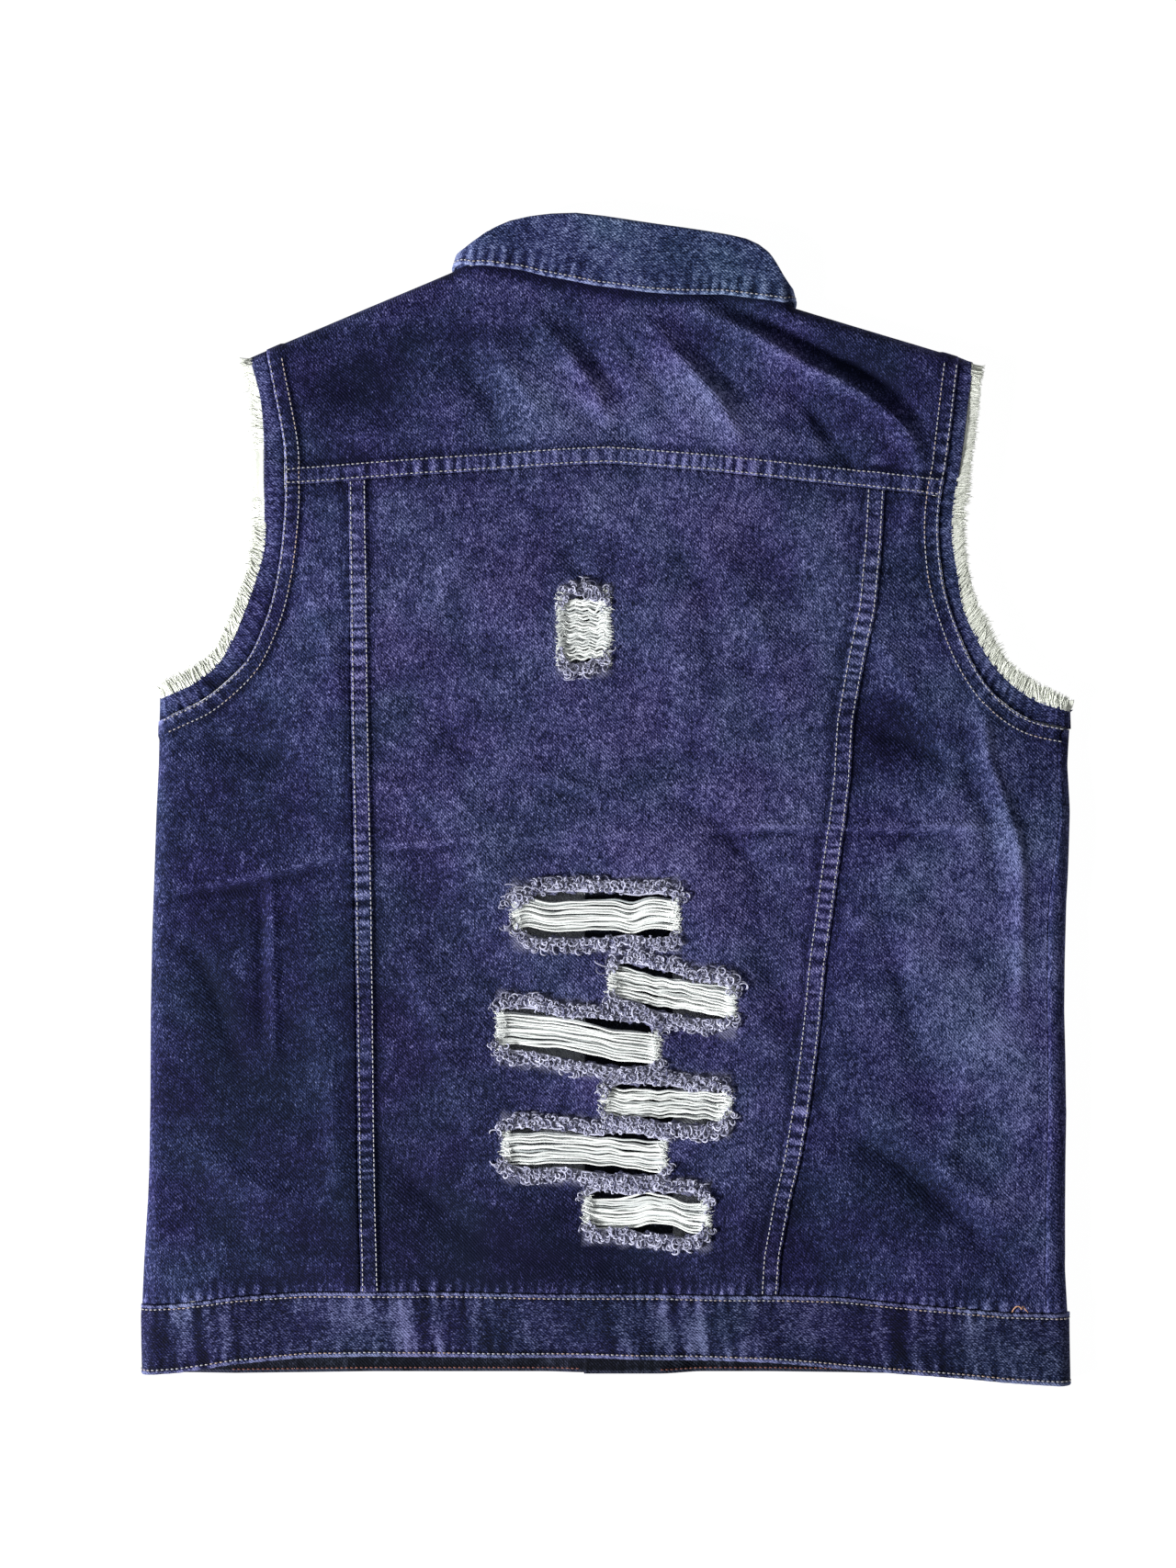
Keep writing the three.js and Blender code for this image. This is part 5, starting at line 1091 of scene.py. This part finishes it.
for mark, values in (("wash", marks.ravel()), ("bare", np.zeros(marks.size))):
    collar_mesh.attributes.new(mark, "FLOAT", "POINT").data.foreach_set("value", values)
collar = put("collar_leaf_and_stand", collar_mesh, collar_denim, ["collar"])


# Armhole bands.
# What is left of the sleeves: a narrow felled band outside each armhole seam, rubbed pale
# on its ridges and cut off raw.
band_denim = denim("rubbed_indigo_twill_band", "#090c22", "#272c55", "#7a7fae", along="x")


def armhole_path(side, layer, count=150):
    """Seam, cut edge and thread ends along an armhole on one layer."""
    keys = (SEAM, EDGE) if layer == "back" else (FRONT, FRONT_EDGE)
    first, last = np.linspace(0.02, 0.5, 12), np.linspace(11.5, 11.995, 12)
    s = np.concatenate([first, np.linspace(0.5, 11.5, count), last[1:]])
    table = ARMHOLES[side]
    return [through(table[:, key], s) for key in (*keys, FRAY)]


for side, sign in SIGNS.items():
    for layer in ("back", "front"):
        seam, edge, _ = armhole_path(side, layer)
        t = np.array([0, 0.06, 0.14, 0.25, 0.4, 0.55, 0.7, 0.84, 0.94, 1])
        x = mix(seam[:, :1] + sign * SEAM_GAP / 2, edge[:, :1], t)
        y = mix(seam[:, 1:] + SEAM_GAP, edge[:, 1:], t)
        points, normals, lies_flat = lie(layer, x, y, side)
        run = np.cumsum(np.hypot(*np.diff(seam, axis=0, prepend=seam[:1]).T))[:, None] + 0 * x
        gather = puckers(5 * t, run, 5.2 if side == "left" else 6.1, 5.6, 7)
        raised = np.where(layer == "back", 0.3 * gather * lies_flat, 0)
        # Puckers rubbed pale, a paler line along the middle, and painted shadow along the seam beside the
        # panel's raised felled edge
        shade = 0.4 * gather + 0.25 * bell(t, 0.6, 0.2) - 0.8 * bell(t, 0, 0.16)
        # Two spots painted dark as the shade in small notches of the band; the mesh has no notch
        for nick_x, nick_y in ((-224, 66), (231, 82)):
            shade = shade - 1.6 * np.exp(-((x - nick_x) / 6) ** 2 - ((y - nick_y) / 2.4) ** 2)
        mesh = shell(f"band_{layer}_{side}", points, normals, raised, CLOTH + 0.5,
                     wash=shade, bare=0.6 * smooth(0.9, 1, t) + 0 * x)
        made = put(f"armhole_band_strip_{layer}_{side}", mesh, band_denim,
                   [f"armhole_band_{layer}_{side}"], wrong_side)


# Threads: armhole fringes, and what is left in and beside the rips.
# Raw cotton yarn. At the armholes the cut ends stand out in a white fringe. In the rips the
# white cross threads still hang between the sides, and loose ends curl along the edges.
def cotton(name, dark, pale):
    """Bare cotton yarn, matt and fuzzy, with shade that changes from thread to thread."""
    made, tree, output = new_material(name)
    place = add(tree, "TexCoord").outputs["Object"]
    shade = add(tree, "Attribute", attribute_name="shade").outputs["Fac"]
    fuzz = add(tree, "TexNoise", {"Vector": place, "Scale": 900, "Detail": 2}).outputs[0]
    blend = add(tree, "Math", {0: fuzz, 1: 0.5, 2: -0.25}, operation="MULTIPLY_ADD").outputs[0]
    blend = add(tree, "Math", {0: blend, 1: shade}, operation="ADD", use_clamp=True).outputs[0]
    colour = add(tree, "Mix", {0: blend, 6: linear(dark), 7: linear(pale)}, data_type="RGBA").outputs[2]
    bump = add(tree, "Bump", {"Height": fuzz, "Strength": 0.4, "Distance": 0.0002}).outputs[0]
    shader = add(tree, "BsdfPrincipled", {
        "Base Color": colour, "Roughness": 0.92, "IOR": 1.53, "Specular IOR Level": 0.2,
        "Sheen Weight": 0.15, "Sheen Roughness": 0.5, "Normal": bump})
    tree.links.new(shader.outputs[0], output.inputs[0])
    return made


white_yarn = cotton("undyed_cotton_weft", "#949c9f", "#eef1ee")
fringe_yarn = cotton("undyed_cotton_fringe", "#c6cabd", "#f3f5ed")
fray_yarn = cotton("part_dyed_cotton_fray", "#4a4b68", "#c3c4da")


FRINGE_SEEDS = {"left": 11, "right": 12}
YARNS_PER_MM = {"back": 7, "front": 1.5}


def yarns(name, paths, radii, shades, sides=3):
    """One mesh of thin tubes along paths, an array of strands by points by x, y and z."""
    paths = np.asarray(paths, float)
    strands, length = paths.shape[:2]
    way = np.gradient(paths, axis=1)
    way /= np.maximum(np.linalg.norm(way, axis=2, keepdims=True), 1e-9)
    side_way = np.cross(way, (0.05, 0.03, 1))
    side_way /= np.maximum(np.linalg.norm(side_way, axis=2, keepdims=True), 1e-9)
    up_way = np.cross(side_way, way)
    taper = np.ones(length)
    taper[-1] = 0.35
    radius = np.broadcast_to(np.asarray(radii, float).reshape(-1, 1), (strands, length)) * taper
    rings = []
    for k in range(sides):
        a = 2 * math.pi * k / sides + 0.5
        rings.append(paths + radius[..., None] * (math.cos(a) * side_way + math.sin(a) * up_way))
    corners = np.stack(rings, 2)
    number = np.arange(strands * length * sides).reshape(strands, length, sides)
    ahead = np.roll(number, -1, axis=2)
    faces = np.stack([number[:, :-1], ahead[:, :-1], ahead[:, 1:], number[:, 1:]], -1).reshape(-1, 4)
    tone = np.repeat(np.broadcast_to(shades, strands), length * sides)
    return to_mesh(name, corners.reshape(-1, 3), faces, shade=tone)


for side in SIGNS:
    for layer in ("back", "front"):
        rng = np.random.default_rng(FRINGE_SEEDS[side])
        seam, edge, ends = armhole_path(side, layer)
        run = np.cumsum(np.hypot(*np.diff(edge, axis=0, prepend=edge[:1]).T))
        strands = int(run[-1] * YARNS_PER_MM[layer])
        s = np.sort(rng.uniform(1.5, run[-1] - 1.5, strands))
        foot, root, tip = (interpolate(s, run, path) for path in (seam, edge, ends))
        out = root - foot
        out /= np.linalg.norm(out, axis=1, keepdims=True)
        reach = np.linalg.norm(tip - root, axis=1) if layer == "back" else np.full(strands, 6.0)
        reach = reach * rng.uniform(0.86, 1.16, strands) * (0.96 + 0.06 * np.sin(s / 9))
        lean = rng.normal(0, 0.12, strands) + 0.15 * np.sin(s / 13)
        bend = rng.normal(0, 0.18, strands)
        cell, normal, _ = lie(layer, root[:, 0], root[:, 1], side)
        t = np.linspace(0, 1, 6)
        across = np.stack([-out[:, 1], out[:, 0]], -1)
        flat = root[:, None] + out[:, None] * (reach[:, None] * (t - 0.12))[..., None]
        flat += across[:, None] * (reach[:, None] * (lean[:, None] * t + bend[:, None] * t ** 2))[..., None]
        drop = rng.uniform(-0.1, 0.6, strands)[:, None] + rng.normal(0, 0.4, strands)[:, None] * t
        deep = np.clip(cell[:, None, 2] - normal[:, 2:] * drop, 0.4, 14.5)
        path = np.concatenate([flat, deep[..., None]], 2)
        radii, tone = rng.uniform(0.2, 0.3, strands), rng.uniform(0.1, 1, strands)
        mesh = yarns(f"fringe_{layer}_{side}", path, radii, tone)
        put(f"armhole_fringe_yarns_{layer}_{side}", mesh, fringe_yarn,
            [f"armhole_fringe_{layer}_{side}"])
        if layer == "front":
            continue
        # The cross threads that are still woven in at the foot of the fringe
        ragged = 1 + 0.12 * np.sin(run * 1.9) * np.sin(run * 0.7 + 1)
        t = np.array([-0.06, 0.12, 0.3, 0.48, 0.62, 0.74]) * ragged[:, None]
        x = mix(edge[:, :1], ends[:, :1], t)
        y = mix(edge[:, 1:], ends[:, 1:], t)
        points, normals, _ = lie(layer, x, y, side)
        tone = 0.55 + 0.3 * np.sin(9 * t / ragged[:, None])
        mesh = shell(f"fringe_root_{side}", points, normals, -1, 0.5, shade=tone)
        put(f"armhole_fringe_root_{side}", mesh, fringe_yarn)


def off_cloth(flat, over):
    """Paths that lie on the back, or stand off it by so much."""
    cell, _, _ = lie("back", flat[..., 0], flat[..., 1])
    return np.concatenate([flat, (cell[..., 2] + over)[..., None]], -1)


def frayed_rim(rim, outward, phase, u):
    """The inner rim of a frayed edge: it waves, and turns in at both ends."""
    wave = 1.3 * np.sin(7 * u + phase) + 0.6 * np.sin(17 * u + 2 * phase)
    return mix(*rim, u) + outward * (wave - 3 * np.abs(2 * u - 1) ** 9)


FUZZ_FIBRES = 260
LOOPS_PER_MM = 3.4
# Where a frayed edge has pulled out into a longer tuft: rip, edge and share along it
TUFTS = {(2, "upper"): 0.92, (1, "upper"): 0.0, (4, "lower"): 0.85, (0, "upper"): 0.6, (0, "lower"): 0.25}
for index, rip in enumerate(RIPS):
    rng = np.random.default_rng(30 + index)
    (x0, x1), upper, lower, filled = rip
    height = (sum(upper) - sum(lower)) / 2
    strands = int(height * filled / 0.82)
    t = np.linspace(0, 1, max(16, int((x1 - x0) / 1.7)))
    offset = np.linspace(-0.5, 0.5, strands) * height * filled + rng.normal(0, 0.25, strands)
    ends = rng.uniform(1.5, 4, (2, strands, 1))
    lower_layer = np.arange(strands) % 2 == 1
    line_x = mix(x0 - ends[0], x1 + ends[1], t)
    along = np.clip((line_x - x0) / (x1 - x0), -0.1, 1.1)
    middle = (mix(*upper, along) + mix(*lower, along)) / 2
    line_y = middle + offset[:, None] + rng.uniform(-0.5, 0.5) * np.sin(math.pi * t)
    for k in (2, 3, 5, 8, 11, 14):
        shared = rng.uniform(0, 6) + 0.5 * offset[:, None] / height
        line_y = line_y + rng.normal(0, 2.6 / (k + 1)) * np.sin(math.pi * k * t + 2 * shared)
        own = rng.normal(0, 0.8 / k, (strands, 1))
        line_y += own * np.sin(math.pi * k * t + rng.uniform(0, 6, (strands, 1)))
    inside = smooth(-0.01, 0.06, along) * smooth(-0.01, 0.06, 1 - along)
    layer_drop = np.where(lower_layer, 0.9, 0)[:, None] + rng.uniform(-0.2, 0.2, (strands, 1))
    over = mix(0.3, -0.7, inside) - layer_drop * inside + 0.3 * np.sin(9 * t + 5 * offset[:, None])
    path = off_cloth(np.stack([line_x, line_y], -1), over)
    # Each thread has a tone of its own, and those of the lower layer are painted darker as the shade under the
    # upper ones
    shade = np.clip(rng.normal(0.88, 0.13, strands) - 0.4 * lower_layer, 0.1, 1)
    mesh = yarns(f"rip_threads_{index + 1}", path, rng.uniform(0.56, 0.76, strands), shade, 6)
    put(f"rip_yarns_{index + 1}", mesh, white_yarn, [f"rip_threads_{index + 1}"])
    # Fine fibres that stand out from the white threads, most of all where they enter the cloth
    count = FUZZ_FIBRES
    end = rng.integers(0, 2, count)
    x = np.where(end == 0, x0, x1) + rng.normal(0, 1.3, count)
    along = np.clip((x - x0) / (x1 - x0), 0, 1)
    middle = (mix(*upper, along) + mix(*lower, along)) / 2
    y = middle + rng.uniform(-0.55, 0.55, count) * height * (filled + 0.15)
    heading = rng.normal(0, 0.5, count) + np.where(end == 0, math.pi, 0)
    bend = rng.normal(0, 0.2, count)
    points = [np.stack([x, y], -1)]
    for k in range(5):
        turned = heading + bend * k
        points.append(points[-1] + 0.62 * np.stack([np.cos(turned), np.sin(turned)], -1))
    over = 0.25 + rng.uniform(0.1, 0.7, count)[:, None] * np.sin(np.linspace(0.4, 3, 6))
    radii, tone = rng.uniform(0.13, 0.22, count), rng.uniform(0.6, 1, count)
    mesh = yarns(f"rip_fuzz_{index + 1}", off_cloth(np.stack(points, 1), over), radii, tone)
    put(f"rip_fuzz_yarns_{index + 1}", mesh, white_yarn)
    # Loose loops along the upper and lower edge, matted into a band
    for which, rim, outward in (("upper", upper, 1), ("lower", lower, -1)):
        rng = np.random.default_rng(60 + 2 * index + (outward > 0))
        strands = int((x1 - x0) * LOOPS_PER_MM)
        u = rng.uniform(-0.06, 1.06, strands)
        phase = rng.uniform(0, 6)
        edge_y = frayed_rim(rim, outward, phase, u)
        start_x = mix(x0, x1, u)
        start_y = edge_y + outward * rng.uniform(0, 6, strands)
        heading = outward * math.pi / 2 + rng.normal(0, 0.8, strands)
        curl = rng.choice((-1, 1), strands) * rng.uniform(0.25, 0.8, strands)
        step = rng.uniform(0.5, 0.95, strands) * (0.9 + 0.2 * np.sin(0.35 * start_x + index))
        step *= 1 + 0.7 * np.exp(-((u - TUFTS.get((index, which), 9)) / 0.13) ** 2)
        points = [np.stack([start_x, start_y], -1)]
        for k in range(9):
            heading = heading + curl * (0.35 + 0.13 * k) + rng.normal(0, 0.1, strands)
            points.append(points[-1] + np.stack([np.cos(heading), np.sin(heading)], -1) * step[:, None])
        flat = np.stack(points, 1)
        gap = (flat[..., 1] - edge_y[:, None]) * outward
        gap = np.where(gap > 8, mix(8, gap, 0.5), np.maximum(gap, -0.8))
        flat[..., 1] = edge_y[:, None] + outward * gap
        t = np.linspace(0, 1, 10)
        over = 0.4 + rng.uniform(0.4, 2.2, strands)[:, None] * np.sin(math.pi * mix(0.1, 0.9, t))
        tone = np.clip(rng.normal(0.45, 0.26, strands), 0, 1)
        # The hole's own edge, rolled into two cords
        cords = []
        for start, stop in ((-0.02, 0.36), (0.33, 0.68), (0.65, 1.02)):
            for lane in (0.3, 1.5):
                u = mix(start, stop, t)
                x = mix(x0, x1, u)
                roll = lane + 0.3 * np.sin(0.3 * x + 2 * lane) + 0.2 * np.sin(0.9 * x)
                y = frayed_rim(rim, outward, phase, u) + outward * roll
                cords.append(off_cloth(np.stack([x, y], -1), 0.5))
        path = np.concatenate([off_cloth(flat, over), np.array(cords)])
        radii = np.concatenate([rng.uniform(0.36, 0.6, strands), np.full(len(cords), 0.75)])
        tone = np.concatenate([tone, np.full(len(cords), 0.8)])
        mesh = yarns(f"rip_fray_{index + 1}_{which}", path, radii, tone)
        put(f"rip_fray_yarns_{index + 1}_{which}", mesh, fray_yarn,
            [f"rip_fray_{index + 1}_{which}"])


# Sewing thread.
# Lockstitch in thick pale thread, faded, with tan left in it at the waistband and
# the armholes. Each stitch is a short raised bead that sinks in at both ends.
def sewing_thread(name, pale, tan):
    """Twisted polyester and cotton thread, a little smoother than the cloth's yarn."""
    made, tree, output = new_material(name)
    place = add(tree, "TexCoord").outputs["Object"]
    patch = add(tree, "TexNoise", {"Vector": place, "Scale": 60, "Detail": 3}).outputs[0]
    grain = add(tree, "TexNoise", {"Vector": place, "Scale": 1500, "Detail": 1}).outputs[0]
    tanned = add(tree, "Attribute", attribute_name="shade").outputs["Fac"]
    share = add(tree, "MapRange", {"Value": patch, "From Min": 0.42, "From Max": 0.62}).outputs[0]
    share = add(tree, "Math", {0: share, 1: tanned}, operation="MULTIPLY").outputs[0]
    colour = add(tree, "Mix", {0: share, 6: linear(pale), 7: linear(tan)}, data_type="RGBA").outputs[2]
    bump = add(tree, "Bump", {"Height": grain, "Strength": 0.5, "Distance": 0.0002}).outputs[0]
    shader = add(tree, "BsdfPrincipled", {
        "Base Color": colour, "Roughness": 0.7, "IOR": 1.5, "Specular IOR Level": 0.4, "Normal": bump})
    tree.links.new(shader.outputs[0], output.inputs[0])
    return made


seam_thread = sewing_thread("faded_sewing_thread", "#9b9ca2", "#9d8a7d")
red_brown_thread = sewing_thread("red_brown_sewing_thread", "#6d4038", "#8c5a4a")
tan_thread = sewing_thread("tan_sewing_thread", "#b98a68", "#c79a76")


STITCH = 2.8
FELL_ROWS = (1.2, 9)
ARMHOLE_ROWS = ((-1.1, 0.3), (-8.2, 0.9))


def sew(name, rows, thread):
    """Stitches along rows, each (points, normals, share of tan) on the face of the cloth."""
    corners, tones = [], []
    for points, normals, tan in rows:
        run = np.cumsum(np.linalg.norm(np.diff(points, axis=0, prepend=points[:1]), axis=1))
        count = int(run[-1] / STITCH)
        middle = (np.arange(count) + 0.5) * run[-1] / count
        ends = [interpolate(middle + k, run, points) for k in (-1.1, -0.7, 0.7, 1.1)]
        up = interpolate(middle, run, normals)
        up /= np.linalg.norm(up, axis=1, keepdims=True)
        way = ends[3] - ends[0]
        way /= np.maximum(np.linalg.norm(way, axis=1, keepdims=True), 1e-9)
        side_way = np.cross(up, way)
        tips = [end + up * lift for end, lift in zip(ends, (-0.25, 0.2, 0.2, -0.25))]
        rings = []
        for k in (1, 2):
            for across, high in ((-0.37, 0), (0, 0.26), (0.37, 0), (0, -0.26)):
                rings.append(tips[k] + side_way * across + up * high)
        corners.append(np.stack([tips[0], *rings, tips[3]], 1))
        tones.append(np.full(count * 10, tan))
    corners = np.concatenate(corners)
    faces = []
    for k in range(4):
        n = (k + 1) % 4
        faces += [(0, 1 + n, 1 + k), (1 + k, 1 + n, 5 + n, 5 + k), (9, 5 + k, 5 + n)]
    first = 10 * np.arange(len(corners))[:, None]
    every = []
    for face in faces:
        every += (np.array(face)[None] + first).tolist()
    mesh = bpy.data.meshes.new(name)
    mesh.from_pydata((corners.reshape(-1, 3) * MM).tolist(), [], every)
    mesh.polygons.foreach_set("use_smooth", np.ones(len(every), bool))
    mesh.attributes.new("shade", "FLOAT", "POINT").data.foreach_set("value", np.concatenate(tones))
    put(name, mesh, thread)


def row_on(layer, x, y, lift, tan=0.25, side="left"):
    """A row of stitches along points of one layer, by how far it stands off the cloth."""
    points, normals, _ = lie(layer, x, y, side)
    return points + normals * lift, normals, tan


rows = []
for d in FELL_ROWS:
    for edge_x, sign in ((left_x, 1), (right_x, -1)):
        x = edge_x + sign * d
        rows.append(row_on("back", x, back_row(x, ROW_SHARES), FELL_RAISE))
sew("stitches_centre", rows, seam_thread)
rows = []
x = np.linspace(-181, 188, 240)
for d in FELL_ROWS:
    rows.append(row_on("back", x, yoke_seam(x) + d, FELL_RAISE))
for side in SIGNS:
    neck, tip = (np.array(end) for end in SHOULDERS[side])
    start, end = ARMHOLES[side][SHOULDER_POINT, SEAM], ARMHOLES[side][SHOULDER_POINT - 1, SEAM]
    seam_end = mix(start, end, (SHOULDER_WRAP - 1.5) / math.dist(start, end))
    down = seam_end - start
    line = np.linspace(seam_end, neck + down, 60)
    rows.append(row_on("front", line[:, 0], line[:, 1], -0.5, 0.25, side))
sew("stitches_yoke", rows, seam_thread)
rows = []
for side, sign in SIGNS.items():
    for layer in ("back", "front"):
        seam, edge, _ = armhole_path(side, layer)
        way = np.gradient(seam, axis=0)
        way /= np.maximum(np.linalg.norm(way, axis=1, keepdims=True), 1e-6)
        out = np.stack([-way[:, 1], way[:, 0]], -1) * -sign
        out *= np.sign(np.sum(out * (edge - seam)))
        lift = 0.75 if layer == "back" else -0.5
        for d, tan in ARMHOLE_ROWS:
            line = (seam + out * d)[6:-6]
            rows.append(row_on(layer, line[:, 0], line[:, 1], lift, tan, side))
sew("stitches_armholes", rows, seam_thread)
rows = [(np.array(leaf_row)[3:-3], np.array(leaf_normals)[3:-3], 0.4)]
sew("stitches_collar", rows, seam_thread)
rows = []
for share in (0.065, 0.935):
    points, normals, lies_flat = lie_band(station_x, mix(band_lower, band_upper, share))
    lift = np.where(on_back, lies_flat + 0.1, -FRONT_SINK - 0.05)[:, None]
    rows.append((points + normals * lift, normals, 1.0))
sew("stitches_waistband", rows, seam_thread)
rows = []
for side, first, last in (("left", -214, RIGHT_EDGE - 2), ("right", LEFT_EDGE + 3, 175)):
    x = np.linspace(first, last, 90)
    points, normals, _ = lie("front", x, np.interp(x, WAIST_X, WAIST_FRONT) + 2.2, side, True)
    rows.append((points - normals * (BAND_CLOTH + 0.05), -normals, 0.5))
sew("stitches_hem", rows, red_brown_thread)
# A loose end of tan thread, left in a loop at the waistband's right end
t = np.linspace(0, 1, 15)
x = 229 + 9 * t + 1.2 * np.sin(2 * math.pi * t)
y = -289.5 + 3.4 * np.sin(math.pi * t) + 1.5 * np.sin(3 * math.pi * t)
points, normals, _ = lie("back", x, y)
loop = points + normals * (1.4 + 0.8 * np.sin(math.pi * t))[:, None]
mesh = yarns("loose_thread", [loop], 0.35, 1, 6)
put("loose_thread_end", mesh, tan_thread)


# Buttons.
# Six tack buttons down the front edges, pressed from plated steel, under the vest.
steel, tree, output = new_material("dull_plated_steel")
place = add(tree, "TexCoord").outputs["Object"]
smear = add(tree, "TexNoise", {"Vector": place, "Scale": 420, "Detail": 4}).outputs[0]
rough = add(tree, "MapRange", {"Value": smear, "To Min": 0.28, "To Max": 0.5}).outputs[0]
tone = add(tree, "Mix", {0: smear, 6: linear("#77746f"), 7: linear("#a5a29b")}, data_type="RGBA").outputs[2]
shader = add(tree, "BsdfPrincipled", {"Base Color": tone, "Metallic": 1, "Roughness": rough})
tree.links.new(shader.outputs[0], output.inputs[0])
for number in range(1, 7):
    button = bpy.data.objects.get(f"button_{number}")
    button.data.materials.clear()
    button.data.materials.append(steel)
